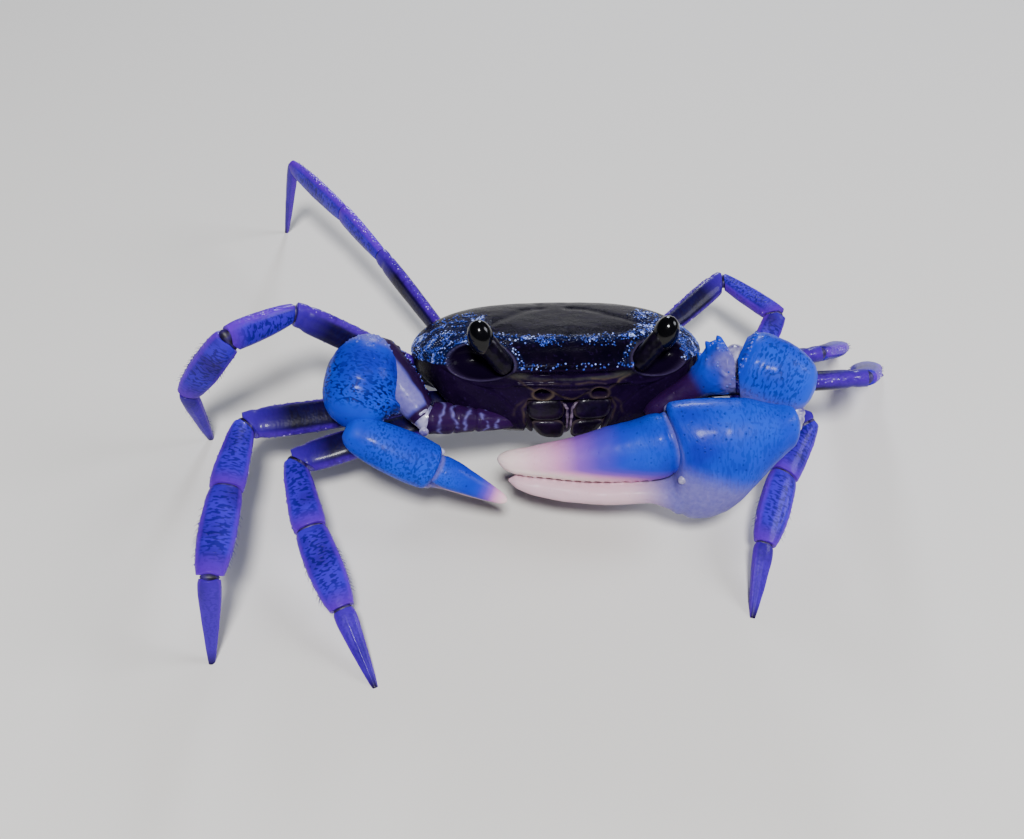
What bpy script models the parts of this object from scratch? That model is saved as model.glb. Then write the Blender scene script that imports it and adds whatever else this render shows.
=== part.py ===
# A small purple land crab at life size, standing still with its claws folded in front of its mouth.
# Metres, +Z up. The crab faces -Y, its right side is at -X, and its toe tips stand on z = 0.
import math

import bmesh
import bpy
from mathutils import Matrix, Vector

MM = 0.001

# ---- driving dimensions, in millimetres ----
SHELL_HALF_WIDTH = 15.4
SHELL_FRONT = 11.6          # from the widest line to the front edge
SHELL_BACK = 9.2            # from the widest line to the hind edge
WIDEST_LINE = 1.0           # how far behind the middle the shell is widest
DOME_TOP = 4.15
FRONT_EDGE_RISE = 1.6
GAP = 0.3                   # room left between two hard parts at a joint

EYE_REACH = (9.2, -9.4, 4.95)
STALK_FOOT = (7.5, -9.3, 2.0)
ORBIT_MIDDLE = (9.2, -8.95, 1.9)
ORBIT_HALF = (3.9, 2.95, 2.3)
ORBIT_TURN = 35.0

BODY_HEIGHT = 12.0          # how high the middle of the body is carried
BODY_PITCH = 23.0           # degrees that the front is raised

TOE_RADIUS = 0.34

# Where each walking leg leaves the body, in the body's own frame.
COXA = {
    2: (9.8, -4.6, -4.4),
    3: (10.8, -1.2, -4.4),
    4: (10.8, 2.4, -4.5),
    5: (8.6, 5.8, -3.8),
}
BASE_LENGTH = 3.2
# Lengths of merus, carpus and propodus; the dactylus runs on down to the ground.
LEG_LENGTHS = {
    2: (15.3, 8.0, 9.0),
    3: (18.9, 8.8, 10.2),
    4: (15.9, 7.8, 9.6),
    5: (15.8, 8.7, 12.0),
}
LEG_STOUTNESS = {2: 1.04, 3: 1.05, 4: 0.98, 5: 0.84}
# Direction of each segment: degrees forward of straight out, and degrees above level.
LEG_POSE = {
    ("R", 2): ((11, -10), (102, -11), (110, -12), (113, -25)),
    ("R", 3): ((10, 2), (83, 1), (86, -1), (74, -74)),
    ("R", 4): ((-7, 29), (38, 5), (-12, -57), (-118, -75)),
    ("R", 5): ((-59, 14), (-60, 6), (-58, 2), (-60, -73)),
    ("L", 2): ((0, -12), (126, -9), (117, -10), (110, -25)),
    ("L", 3): ((10, 12), (-60, -34), (-58, -35), (-20, -36)),
    ("L", 4): ((4, 14), (-48, -30), (-62, -36), (-66, -42)),
    ("L", 5): ((-40, 9), (58, 2), (125, -32), (118, -25)),
}
# Stations along each leg segment: share of its length, half depth, half thickness.
SEGMENT_FORM = {
    "merus": ((0.0, 0.85, 0.75), (0.2, 1.15, 0.9), (0.5, 1.45, 0.95), (0.8, 1.6, 1.0), (0.94, 1.5, 0.95),
              (1.0, 1.3, 0.9)),
    "carpus": ((0.0, 1.0, 0.8), (0.25, 1.3, 0.95), (0.6, 1.5, 1.0), (0.86, 1.6, 1.0), (1.0, 1.5, 0.9)),
    "propodus": ((0.0, 1.35, 0.8), (0.16, 1.6, 0.92), (0.5, 1.65, 0.92), (0.85, 1.4, 0.85), (1.0, 1.1, 0.7)),
    "dactylus": ((0.0, 0.85, 0.6), (0.12, 1.0, 0.68), (0.45, 0.78, 0.55), (0.8, 0.48, 0.4), (1.0, 0.3, 0.3)),
}
SEGMENTS = ("merus", "carpus", "propodus", "dactylus")

# ---- claw arms: joints in the standing frame ----
CLAW_COXA = (7.6, -6.8, -4.9)


def cleared_scene():
    for old in list(bpy.data.objects):
        bpy.data.objects.remove(old, do_unlink=True)


def finish(name, colour, roughness, metallic=0.0):
    material = bpy.data.materials.new(name)
    material.use_nodes = True
    shader = material.node_tree.nodes["Principled BSDF"]
    shader.inputs["Base Color"].default_value = (*colour, 1.0)
    shader.inputs["Roughness"].default_value = roughness
    shader.inputs["Metallic"].default_value = metallic
    return material


def add_object(name, mesh_builder, material):
    bmesh.ops.recalc_face_normals(mesh_builder, faces=mesh_builder.faces)
    mesh = bpy.data.meshes.new(name)
    mesh_builder.to_mesh(mesh)
    mesh_builder.free()
    mesh.shade_smooth()
    mesh.set_sharp_from_angle(angle=math.radians(40))
    made = bpy.data.objects.new(name, mesh)
    made.data.materials.append(material)
    bpy.context.scene.collection.objects.link(made)
    return made


def loft(rings):
    """A closed body through rings of points in millimetres, each end closed by a fan."""
    builder = bmesh.new()
    rows = [[builder.verts.new(Vector(p) * MM) for p in ring] for ring in rings]
    count = len(rings[0])
    for row, after in zip(rows[:-1], rows[1:]):
        for i in range(count):
            j = (i + 1) % count
            builder.faces.new((row[i], row[j], after[j], after[i]))
    for row in (rows[0], rows[-1]):
        middle = builder.verts.new(sum((v.co for v in row), Vector()) / count)
        for i in range(count):
            builder.faces.new((row[i], row[(i + 1) % count], middle))
    return builder


# ---- standing frame ----
STAND = Matrix.Translation((0, 0, BODY_HEIGHT)) @ Matrix.Rotation(-math.radians(BODY_PITCH), 4, "X")


def stood(point):
    return STAND @ Vector(point)


def heading(side, forward, up):
    """Unit direction on one side of the body, from degrees forward of straight out and above level."""
    a = math.radians(forward)
    e = math.radians(up)
    sign = 1.0 if side == "L" else -1.0
    return Vector((sign * math.cos(a) * math.cos(e), -math.sin(a) * math.cos(e), math.sin(e)))


# ---- shell and trunk ----
def signed_power(value, power):
    return math.copysign(abs(value) ** power, value)


def outline(turn, half_width, front, back, middle, square):
    """A rounded outline; turn 0 is straight ahead and goes round by the crab's left."""
    across = half_width * signed_power(math.sin(turn), 2.0 / square)
    reach = front if math.cos(turn) > 0 else back
    along = middle - reach * signed_power(math.cos(turn), 2.0 / square)
    return across, along


def edge_height(turn):
    ahead = max(0.0, math.cos(turn))
    behind = max(0.0, -math.cos(turn))
    return FRONT_EDGE_RISE * ahead ** 0.8 + 0.3 * behind


def dome_height(turn, share):
    ahead = max(0.0, math.cos(turn))
    behind = max(0.0, -math.cos(turn))
    flatness = 3.9 + 1.2 * ahead ** 2 - 0.6 * behind ** 2
    low = edge_height(turn)
    return low + (DOME_TOP - low) * (1.0 - share ** flatness) ** 0.57


def shell_rings(count=36):
    rings = []
    for share in (0.12, 0.4, 0.64, 0.82, 0.93, 0.985, 1.0):
        ring = []
        for i in range(count):
            turn = math.tau * i / count
            x, y = outline(turn, SHELL_HALF_WIDTH, SHELL_FRONT, SHELL_BACK, WIDEST_LINE, 2.25)
            ring.append(stood((x * share, WIDEST_LINE + (y - WIDEST_LINE) * share, dome_height(turn, share))))
        rings.append(ring)
    # Under the edge the side walls run in and down, and the face falls nearly straight.
    for side_share, front_share, drop, front_drop in ((0.975, 0.95, 0.8, 0.8), (0.89, 0.89, 1.7, 2.2),
                                                      (0.73, 0.85, 2.6, 4.1)):
        ring = []
        for i in range(count):
            turn = math.tau * i / count
            ahead = max(0.0, math.cos(turn)) ** 1.5
            share = side_share + (front_share - side_share) * ahead
            fall = drop + (front_drop - drop) * ahead
            x, y = outline(turn, SHELL_HALF_WIDTH, SHELL_FRONT, SHELL_BACK, WIDEST_LINE, 2.25)
            ring.append(stood((x * share, WIDEST_LINE + (y - WIDEST_LINE) * share, edge_height(turn) - fall)))
        rings.append(ring)
    return rings


def orbit_cutter(side, material):
    """An egg shape that hollows the eye socket out of the front edge."""
    sign = 1.0 if side == "L" else -1.0
    builder = bmesh.new()
    bmesh.ops.create_uvsphere(builder, u_segments=16, v_segments=9, radius=1.0)
    sizes = Matrix.Diagonal((*(v * MM for v in ORBIT_HALF), 1.0))
    turn = Matrix.Rotation(math.radians(sign * ORBIT_TURN), 4, "Z")
    place = Matrix.Translation(Vector((sign * ORBIT_MIDDLE[0], ORBIT_MIDDLE[1], ORBIT_MIDDLE[2])) * MM)
    stand = Matrix.Translation((0, 0, BODY_HEIGHT * MM)) @ Matrix.Rotation(-math.radians(BODY_PITCH), 4, "X")
    bmesh.ops.transform(builder, matrix=stand @ place @ turn @ sizes, verts=builder.verts)
    cutter = add_object("orbit_cutter_" + side, builder, material)
    cutter.hide_render = True
    cutter.display_type = "WIRE"
    return cutter


def build_shell(materials):
    shell = add_object("carapace", loft(shell_rings()), materials["shell"])
    for side in "LR":
        cut = shell.modifiers.new("orbit_" + side, "BOOLEAN")
        cut.operation = "DIFFERENCE"
        cut.solver = "EXACT"
        cut.object = orbit_cutter(side, materials["shell"])


def build_trunk(materials):
    """The breastplate under the shell, with the leg bases round its rim."""
    rings = []
    for share, z in ((0.93, -3.75), (1.0, -4.1), (1.0, -4.9), (0.9, -5.8), (0.68, -6.3)):
        ring = []
        for i in range(24):
            x, y = outline(math.tau * i / 24, 9.9, 7.5, 7.4, 0.6, 2.7)
            ring.append(stood((x * share, 0.6 + (y - 0.6) * share, z)))
        rings.append(ring)
    add_object("sternum", loft(rings), materials["under"])


def build_abdomen(materials):
    """The narrow folded tail that lies flat under the breastplate."""
    rings = []
    for y, half, z in ((-4.6, 0.7, -7.0), (-2.0, 1.4, -7.0), (1.5, 2.2, -7.0), (4.6, 3.2, -6.95), (6.9, 3.6, -6.6)):
        rings.append([stood((half * math.cos(t) * 1.0, y, z + 0.38 * signed_power(math.sin(t), 0.6)))
                      for t in (math.tau * (i + 0.5) / 10 for i in range(10))])
    add_object("abdomen", loft(rings), materials["under"])


def build_mouth_plate(side, materials):
    """The outer mouth limb: a tall plate that closes one half of the mouth."""
    sign = 1.0 if side == "L" else -1.0
    rings = []
    for z, y, half, out in ((-2.75, -8.15, 1.3, 1.95), (-3.4, -8.3, 1.75, 2.0), (-4.4, -8.15, 1.75, 1.95),
                            (-5.6, -7.9, 1.5, 1.75), (-6.5, -7.55, 1.05, 1.5)):
        rings.append([stood((sign * out + half * math.cos(t), y + 0.42 * signed_power(math.sin(t), 0.7), z))
                      for t in (math.tau * (i + 0.5) / 10 for i in range(10))])
    add_object("mouth_plate_" + side, loft(rings), materials["shell"])


def frame_rings(start, end, stations, depth_axis, count):
    """Oval rings along a line: each station is share, half depth, half thickness and sideways shift."""
    along = (end - start).normalized()
    depth = (depth_axis - depth_axis.dot(along) * along).normalized()
    thin = along.cross(depth)
    rings = []
    for share, half_depth, half_thin, shift in stations:
        middle = start.lerp(end, share) + depth * shift
        rings.append([middle + depth * half_depth * math.cos(t) + thin * half_thin * math.sin(t)
                      for t in (math.tau * (i + 0.5) / count for i in range(count))])
    return rings


def build_eye(side, materials):
    sign = 1.0 if side == "L" else -1.0
    foot = stood((sign * STALK_FOOT[0], STALK_FOOT[1], STALK_FOOT[2]))
    middle = stood((sign * EYE_REACH[0], EYE_REACH[1], EYE_REACH[2]))
    along = (middle - foot).normalized()
    neck = middle - along * 1.25
    stalk = frame_rings(foot, neck, ((0.0, 0.6, 0.6, 0), (0.2, 0.8, 0.8, 0), (0.6, 0.8, 0.8, 0), (1.0, 0.9, 0.9, 0)),
                        Vector((0, 0, 1)), 10)
    add_object("eyestalk_" + side, loft(stalk), materials["stalk"])
    rings = []
    for step in (-0.62, -0.3, 0.1, 0.5, 0.82, 0.97):
        width = 1.12 * math.sqrt(1.0 - step * step)
        rings.append((0.5 + step * 0.5, width, width, 0))
    cornea = frame_rings(middle - along * 1.45, middle + along * 1.45, rings, Vector((0, 0, 1)), 12)
    add_object("eye_" + side, loft(cornea), materials["eye"])


# ---- jointed limbs ----
def behind_plane(point, slide, joint, normal, clearance):
    """Slides a point along a limb until it lies at least the clearance behind the joint's mitre plane."""
    depth = (point - joint).dot(normal) + clearance
    if depth > 0:
        point = point - slide * (depth / slide.dot(normal))
    return point


def limb_rings(start, end, before, after, form, stoutness, normal, count=8):
    """Rings of one limb segment, with each end trimmed to the mitre plane that it shares with its neighbour."""
    along = (end - start).normalized()
    thin = (normal - normal.dot(along) * along).normalized()
    depth = thin.cross(along)
    rings = []
    last = len(form) - 1
    for k, (share, half_depth, half_thin) in enumerate(form):
        middle = start.lerp(end, share)
        ring = []
        for i in range(count):
            t = math.tau * (i + 0.5) / count
            point = (middle + depth * half_depth * stoutness * math.cos(t)
                     + thin * half_thin * stoutness * math.sin(t))
            if after is not None:
                plane = (along + after).normalized()
                point = behind_plane(point, along, end, plane, GAP / 2 + 0.06 * (last - k))
            if before is not None:
                plane = -(along + before).normalized()
                point = behind_plane(point, -along, start, plane, GAP / 2 + 0.06 * k)
            ring.append(point)
        rings.append(ring)
    return rings


def cut_at_ground(builder):
    """Wears the toe tip flat where it stands."""
    geometry = builder.verts[:] + builder.edges[:] + builder.faces[:]
    cut = bmesh.ops.bisect_plane(builder, geom=geometry, plane_co=(0, 0, 0), plane_no=(0, 0, 1), clear_inner=True)
    edges = [e for e in cut["geom_cut"] if isinstance(e, bmesh.types.BMEdge)]
    bmesh.ops.holes_fill(builder, edges=edges, sides=0)


def build_leg(side, number, materials):
    x, y, z = COXA[number]
    sign = 1.0 if side == "L" else -1.0
    joints = [stood((sign * x, y, z))]
    directions = [heading(side, *angles) for angles in LEG_POSE[side, number]]
    for k, length in enumerate(LEG_LENGTHS[number]):
        joints.append(joints[-1] + directions[k] * (length + (BASE_LENGTH if k == 0 else 0.0)))
    to_ground = joints[-1].z / -directions[3].z
    joints.append(joints[-1] + directions[3] * (to_ground + 0.45))
    normal = directions[0].cross((joints[4] - joints[1]).normalized())
    if number == 5 and side == "R":
        normal = directions[0].cross(Vector((0, 0, -1)))
    normal.normalize()
    for k, segment in enumerate(SEGMENTS):
        before = directions[k - 1] if k else None
        after = directions[k + 1] if k < 3 else None
        start = joints[k] + directions[0] * 0.35 if k == 0 else joints[k]
        rings = limb_rings(start, joints[k + 1], before, after, SEGMENT_FORM[segment], LEG_STOUTNESS[number], normal)
        builder = loft(rings)
        if segment == "dactylus":
            cut_at_ground(builder)
        add_object("leg%d_%s_%s" % (number, segment, side), builder, materials["leg"])


# ---- claws ----
def claw_arm(side, joints, halves, materials):
    """The arm from the body to the wrist."""
    stations = []
    for share, (half_depth, half_thin) in zip((0.0, 0.3, 0.7, 0.92, 1.0), halves):
        stations.append((share, half_depth, half_thin))
    along = (joints[1] - joints[0]).normalized()
    after = (joints[2] - joints[1]).normalized()
    normal = along.cross(after).normalized()
    rings = limb_rings(joints[0], joints[1], None, after, stations, 1.0, normal, 10)
    add_object("claw_arm_" + side, loft(rings), materials["claw"])


def claw_wrist(side, joints, form, materials):
    along = (joints[2] - joints[1]).normalized()
    before = (joints[1] - joints[0]).normalized()
    after = (joints[3] - joints[2]).normalized()
    normal = before.cross(along).normalized()
    rings = limb_rings(joints[1], joints[2], before, after, form, 1.0, normal, 12)
    add_object("claw_wrist_" + side, loft(rings), materials["claw"])


def claw_hand(side, start, tip, up, palm, finger, thumb, materials):
    """The hand with its fixed finger in one piece, and the moving finger hinged on top."""
    rings = frame_rings(start, tip, palm + finger, up, 14)
    add_object("claw_palm_" + side, loft(rings), materials["claw"])
    rings = frame_rings(start, tip, thumb, up, 12)
    add_object("claw_finger_" + side, loft(rings), materials["claw"])


def build_claws(materials):
    # Left: the large claw, its hand laid across in front of the mouth.
    root = stood((CLAW_COXA[0], CLAW_COXA[1], CLAW_COXA[2])) + Vector((0.6, -0.3, 0.4))
    arm = [root, Vector((16.9, -7.3, 16.5)), Vector((23.2, -11.0, 15.5)), Vector((15.0, -15.0, 11.0))]
    claw_arm("L", arm, ((1.3, 1.2), (1.5, 1.4), (2.7, 2.0), (3.2, 2.3), (2.8, 2.1)), materials)
    wrist = ((0.0, 2.8, 2.7), (0.15, 3.5, 3.4), (0.5, 3.8, 3.6), (0.8, 3.3, 3.2), (1.0, 2.5, 2.5))
    claw_wrist("L", arm, wrist, materials)
    hand_start = Vector((21.6, -15.4, 12.6))
    hand_tip = Vector((-7.4, -12.4, 8.0))
    up = Vector((0.0, 0.42, 0.9))
    palm = ((0.0, 1.6, 1.6, 1.3), (0.06, 2.7, 2.6, 1.0), (0.13, 4.0, 3.3, 0.5), (0.2, 5.3, 3.8, -0.3),
            (0.3, 6.0, 3.9, -0.8), (0.385, 5.7, 3.7, -0.8))
    finger = ((0.405, 1.65, 2.9, -4.6), (0.46, 1.35, 2.3, -4.15), (0.6, 1.1, 1.8, -3.85), (0.77, 1.0, 1.5, -3.35),
              (0.9, 0.8, 1.1, -2.5), (0.96, 0.35, 0.4, -1.9))
    thumb = ((0.402, 2.6, 2.5, 1.2), (0.45, 3.0, 2.9, 0.8), (0.6, 2.7, 2.6, 0.45), (0.75, 2.05, 2.1, 0.2),
             (0.88, 1.45, 1.6, 0.25), (0.96, 1.05, 1.2, 0.35), (1.0, 0.45, 0.5, 0.6))
    claw_hand("L", hand_start, hand_tip, up, palm, finger, thumb, materials)
    # Right: the small claw, its hand folded forwards and inwards.
    root = stood((-CLAW_COXA[0], CLAW_COXA[1], CLAW_COXA[2])) + Vector((-0.6, -0.3, 0.4))
    elbow = Vector((-13.6, -9.0, 12.4))
    arm = [root, elbow, Vector((-19.4, -2.8, 16.0)), Vector((-21.1, -9.1, 12.9))]
    claw_arm("R", arm[:3], ((1.2, 1.1), (1.4, 1.3), (1.6, 1.5), (1.6, 1.5), (1.5, 1.4)), materials)
    arm = [elbow, Vector((-19.4, -2.8, 16.0)), Vector((-21.1, -8.9, 13.0)), Vector((-13.5, -14.4, 9.0))]
    form = ((0.0, 1.5, 1.4), (0.3, 2.2, 1.9), (0.7, 2.5, 2.1), (0.92, 2.3, 2.0), (1.0, 1.9, 1.7))
    along = (arm[1] - arm[0]).normalized()
    normal = along.cross((arm[2] - arm[1]).normalized()).normalized()
    before = (elbow - root).normalized()
    rings = limb_rings(arm[0], arm[1], before, (arm[2] - arm[1]).normalized(), form, 1.0, normal, 10)
    add_object("claw_upper_arm_R", loft(rings), materials["claw"])
    wrist = ((0.0, 2.0, 2.1), (0.2, 3.1, 3.0), (0.5, 3.6, 3.3), (0.8, 3.1, 2.9), (1.0, 1.9, 1.8))
    claw_wrist("R", arm, wrist, materials)
    hand_start = Vector((-21.2, -11.5, 11.7))
    hand_tip = Vector((-6.85, -15.7, 6.1))
    up = Vector((0.13, -0.58, 0.8))
    palm = ((0.0, 0.9, 1.1, 0.0), (0.1, 1.7, 2.2, 0.0), (0.3, 2.1, 2.75, 0.0), (0.5, 2.0, 2.4, -0.1))
    finger = ((0.52, 0.75, 1.7, -1.15), (0.65, 0.7, 1.25, -1.25), (0.85, 0.5, 0.75, -1.0), (0.97, 0.28, 0.3, -0.7))
    thumb = ((0.53, 1.05, 1.6, 0.95), (0.6, 1.1, 1.5, 0.9), (0.75, 0.9, 1.1, 0.65), (0.9, 0.58, 0.7, 0.35),
             (1.0, 0.3, 0.3, 0.1))
    claw_hand("R", hand_start, hand_tip, up, palm, finger, thumb, materials)


def centred():
    """Moves the whole crab so that the middle of its footprint is over the origin."""
    bpy.context.view_layer.update()
    low = Vector((1e9, 1e9, 1e9))
    high = -low
    for made in bpy.data.objects:
        if made.hide_render:
            continue
        for v in made.data.vertices:
            low = Vector(map(min, low, v.co))
            high = Vector(map(max, high, v.co))
    shift = Matrix.Translation((-(low.x + high.x) / 2, -(low.y + high.y) / 2, 0.0))
    for made in bpy.data.objects:
        made.data.transform(shift)


def main():
    cleared_scene()
    materials = {
        "shell": finish("dark_violet_shell", (0.02, 0.008, 0.05), 0.25),
        "under": finish("dull_violet_underside", (0.08, 0.05, 0.12), 0.45),
        "stalk": finish("dark_eyestalk", (0.02, 0.01, 0.03), 0.35),
        "eye": finish("black_cornea", (0.004, 0.004, 0.006), 0.08),
        "leg": finish("violet_leg", (0.10, 0.03, 0.45), 0.35),
        "claw": finish("blue_claw", (0.08, 0.16, 0.75), 0.3),
    }
    build_shell(materials)
    build_trunk(materials)
    build_abdomen(materials)
    for side in "LR":
        build_mouth_plate(side, materials)
        build_eye(side, materials)
        for number in (2, 3, 4, 5):
            build_leg(side, number, materials)
    build_claws(materials)
    centred()


main()
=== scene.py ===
import math

import bmesh
import bpy
import numpy as np
from mathutils import Matrix, Vector, noise


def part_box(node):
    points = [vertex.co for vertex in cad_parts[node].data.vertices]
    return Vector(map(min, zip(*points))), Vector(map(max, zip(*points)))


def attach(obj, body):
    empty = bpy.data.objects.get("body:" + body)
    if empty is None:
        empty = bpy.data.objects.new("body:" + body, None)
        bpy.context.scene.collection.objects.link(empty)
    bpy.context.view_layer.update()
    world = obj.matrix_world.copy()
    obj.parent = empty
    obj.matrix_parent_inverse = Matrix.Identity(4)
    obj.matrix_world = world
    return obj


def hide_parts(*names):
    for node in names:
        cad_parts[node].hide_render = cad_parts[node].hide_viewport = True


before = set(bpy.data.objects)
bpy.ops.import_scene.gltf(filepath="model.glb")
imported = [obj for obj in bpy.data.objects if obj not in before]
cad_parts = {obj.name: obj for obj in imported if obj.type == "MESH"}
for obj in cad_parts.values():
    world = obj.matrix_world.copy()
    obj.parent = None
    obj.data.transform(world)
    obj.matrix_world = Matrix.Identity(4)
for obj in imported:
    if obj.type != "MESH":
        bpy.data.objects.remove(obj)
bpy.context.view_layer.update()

MM = 0.001

# ----------------------------------------------------------
# The shell on the back, with the face under its front edge.
# One dome of hard, lime-stiffened skin, wet and nearly black with violet in it. It is grown in one
# piece: a finely grained crest runs across it behind the smooth front, and the eye sockets, the
# breathing openings and the mouth frame are moulded into its face.
# ----------------------------------------------------------
BODY_HEIGHT = 12.0
BODY_PITCH = math.radians(23.0)
SHELL_HALF_WIDTH = 15.4
SHELL_FRONT = 11.6
SHELL_BACK = 9.2
WIDEST_LINE = 1.0
DOME_TOP = 4.15
FRONT_EDGE_RISE = 1.6
FRONT_PLATE_HALF = 6.4
SOCKET_MIDDLE = np.array([9.3, -8.9, 1.95])
SOCKET_HALF = np.array([3.6, 2.85, 2.1])
SOCKET_TURN = math.radians(35.0)
SHELL_COLUMNS = 466

# The tail plate's front end tells where the solids stand on the floor.
tail_low, tail_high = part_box("abdomen")
TAIL_FRONT, TAIL_DEPTH = -4.6, -7.38
tail_front_y = TAIL_FRONT * math.cos(BODY_PITCH) + TAIL_DEPTH * math.sin(BODY_PITCH)
PLACE = np.array([(tail_low.x + tail_high.x) / 2 / MM, tail_low.y / MM - tail_front_y, 0.0])


def stood(points):
    """Body-frame millimetres to the standing frame: front raised, body carried above the floor."""
    points = np.asarray(points, float)
    c, s = math.cos(BODY_PITCH), math.sin(BODY_PITCH)
    x, y, z = points[..., 0], points[..., 1], points[..., 2]
    return np.stack([x, y * c + z * s, z * c - y * s + BODY_HEIGHT], -1)


def signed_power(values, power):
    """A power that keeps the sign, for squarish rings."""
    return np.sign(values) * np.abs(values) ** power


def ease(values, low, high):
    """A smooth rise from 0 at the low value to 1 at the high one."""
    t = np.clip((values - low) / (high - low), 0.0, 1.0)
    return t * t * (3 - 2 * t)


def hill(values, width):
    """A smooth bump of height 1 where the values are 0."""
    return np.exp(-(values / width) ** 2)


def grain(points, size, seed):
    """Soft noise from -1 to 1 at each point, with lumps about the given size in millimetres."""
    flat = np.asarray(points, float).reshape(-1, 3) / size + seed * 17.3
    return np.array([noise.noise(Vector(p)) for p in flat]).reshape(np.asarray(points).shape[:-1])


def placed(name, data):
    """Sets a mesh, lamp or camera in the scene."""
    thing = bpy.data.objects.new(name, data)
    bpy.context.scene.collection.objects.link(thing)
    return thing


def skin(name, grid, marks=None):
    """Closes rows of points into one piece; marks become named values on its surface."""
    rows, columns = grid.shape[:2]
    points = (grid + PLACE) * MM
    ends = [points[0].mean(0), points[-1].mean(0)]
    verts = np.concatenate([points.reshape(-1, 3), ends])
    first, base = rows * columns, (rows - 1) * columns
    faces = []
    for r in range(rows - 1):
        a, b = r * columns, (r + 1) * columns
        faces += [(a + c, a + (c + 1) % columns, b + (c + 1) % columns, b + c) for c in range(columns)]
    for c in range(columns):
        d = (c + 1) % columns
        faces += [(d, c, first), (base + c, base + d, first + 1)]
    mesh = bpy.data.meshes.new(name)
    mesh.from_pydata(verts.tolist(), [], faces)
    for key, values in (marks or {}).items():
        kind, field, shape = ("FLOAT_VECTOR", "vector", (rows, columns, 3)) if np.ndim(values) == 3 else \
            ("FLOAT", "value", (rows, columns))
        values = np.broadcast_to(values, shape)
        flat = np.concatenate([values.reshape(-1, *shape[2:]), [values[0].mean(0), values[-1].mean(0)]])
        mesh.attributes.new(key, kind, "POINT").data.foreach_set(field, flat.ravel())
    builder = bmesh.new()
    builder.from_mesh(mesh)
    bmesh.ops.recalc_face_normals(builder, faces=builder.faces)
    builder.to_mesh(mesh)
    builder.free()
    mesh.shade_smooth()
    return placed(name, mesh)


def linear(code):
    """An sRGB hex colour as linear values."""
    parts = [int(code[i:i + 2], 16) / 255 for i in (0, 2, 4)]
    return [p / 12.92 if p <= 0.04045 else ((p + 0.055) / 1.055) ** 2.4 for p in parts] + [1.0]


def fill(tree, socket, value):
    """Links another node's output to a socket, or sets it to a value or an sRGB colour."""
    if isinstance(value, bpy.types.NodeSocket):
        tree.links.new(value, socket)
    else:
        socket.default_value = linear(value) if isinstance(value, str) else value


def node(tree, kind, *first, out=None, stops=(), **given):
    """Adds a node with its settings, values and links, and returns its first output or the one named.

    Values and links without a name go to the node's first sockets in their order.
    """
    made = tree.nodes.new(kind if "Node" in kind else "ShaderNode" + kind)
    for key in [key for key in given if hasattr(made, key)]:
        setattr(made, key, given.pop(key))
    if stops:
        ramp = made.color_ramp.elements
        for stop, (at, code) in zip((ramp[0], ramp[-1]), (stops[0], stops[-1])):
            stop.position, stop.color = at, linear(code)
        for at, code in stops[1:-1]:
            ramp.new(at).color = linear(code)
    named = [(made.inputs[key.replace("_", " ")], value) for key, value in given.items()]
    for socket, value in [*zip([socket for socket in made.inputs if socket.enabled], first), *named]:
        fill(tree, socket, value)
    if made.outputs:
        return made.outputs[out] if out else [socket for socket in made.outputs if socket.enabled][0]


def lay(tree, **surface):
    """Gives a finish's surface its values and links."""
    for key, value in surface.items():
        fill(tree, tree.nodes["Principled BSDF"].inputs[key.replace("_", " ")], value)


def new_finish(name, **surface):
    """A finish with these values on its surface, its tree, and the place on the piece."""
    finish = bpy.data.materials.new(name)
    finish.use_nodes = True
    lay(finish.node_tree, **surface)
    return finish, finish.node_tree, node(finish.node_tree, "TexCoord", out="Object")


def layered(tree, colour, *layers):
    """Lays colours over one another; each layer is how much of it shows and its colour."""
    for share, tone in layers:
        colour = node(tree, "Mix", share, colour, tone, data_type="RGBA")
    return colour


def read_marks(tree, *names):
    """The named values that a piece carries on its surface, for its finish to read."""
    return {name: node(tree, "Attribute", out="Fac", attribute_name=name) for name in names}


def blotched(name, per_mm, stops, detail=3.0, rough=0.5, mark=None, tone=None, pits=None, **surface):
    """A finish of blotches, so many to the millimetre, with one marked part and pits of its own."""
    finish, tree, place = new_finish(name, **surface)
    blotch = node(tree, "TexNoise", place, per_mm / MM, Detail=detail, Roughness=rough)
    colour = node(tree, "ValToRGB", blotch, stops=stops)
    if mark:
        colour = layered(tree, colour, (read_marks(tree, mark)[mark], tone))
    if pits:
        kind, pits_per_mm, strength, depth = pits
        height = node(tree, kind, place, Scale=pits_per_mm / MM) if kind else blotch
        lay(tree, Normal=node(tree, "Bump", strength, depth, Height=height))
    lay(tree, Base_Color=colour)
    return finish


def dress(piece, finish, slot, *solids):
    """Gives a piece its finish and body, and hides the solids that it stands for. The slot argument is not
    used.
    """
    piece.data.materials.append(finish)
    if solids:
        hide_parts(*solids)
    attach(piece, "root")
    return piece


def turns(count):
    """Evenly spaced angles round a ring."""
    return np.linspace(0, math.tau, count, endpoint=False)[None, :]


def outline(turn, square=2.25):
    """The back's outline seen from above, blunt in front."""
    across = SHELL_HALF_WIDTH * signed_power(np.sin(turn), 2 / square)
    reach = np.where(np.cos(turn) > 0, SHELL_FRONT, SHELL_BACK)
    return across, WIDEST_LINE - reach * signed_power(np.cos(turn), 2 / square)


def groove(x, y, path, width):
    """How near each point lies to a line of corner points: 1 on the line, 0 away from it."""
    nearest = np.full(np.shape(x), 1e9)
    for (x0, y0), (x1, y1) in zip(path[:-1], path[1:]):
        length = (x1 - x0) ** 2 + (y1 - y0) ** 2
        t = np.clip(((x - x0) * (x1 - x0) + (y - y0) * (y1 - y0)) / length, 0, 1)
        nearest = np.minimum(nearest, np.hypot(x - x0 - t * (x1 - x0), y - y0 - t * (y1 - y0)))
    return hill(nearest, width)


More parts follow.
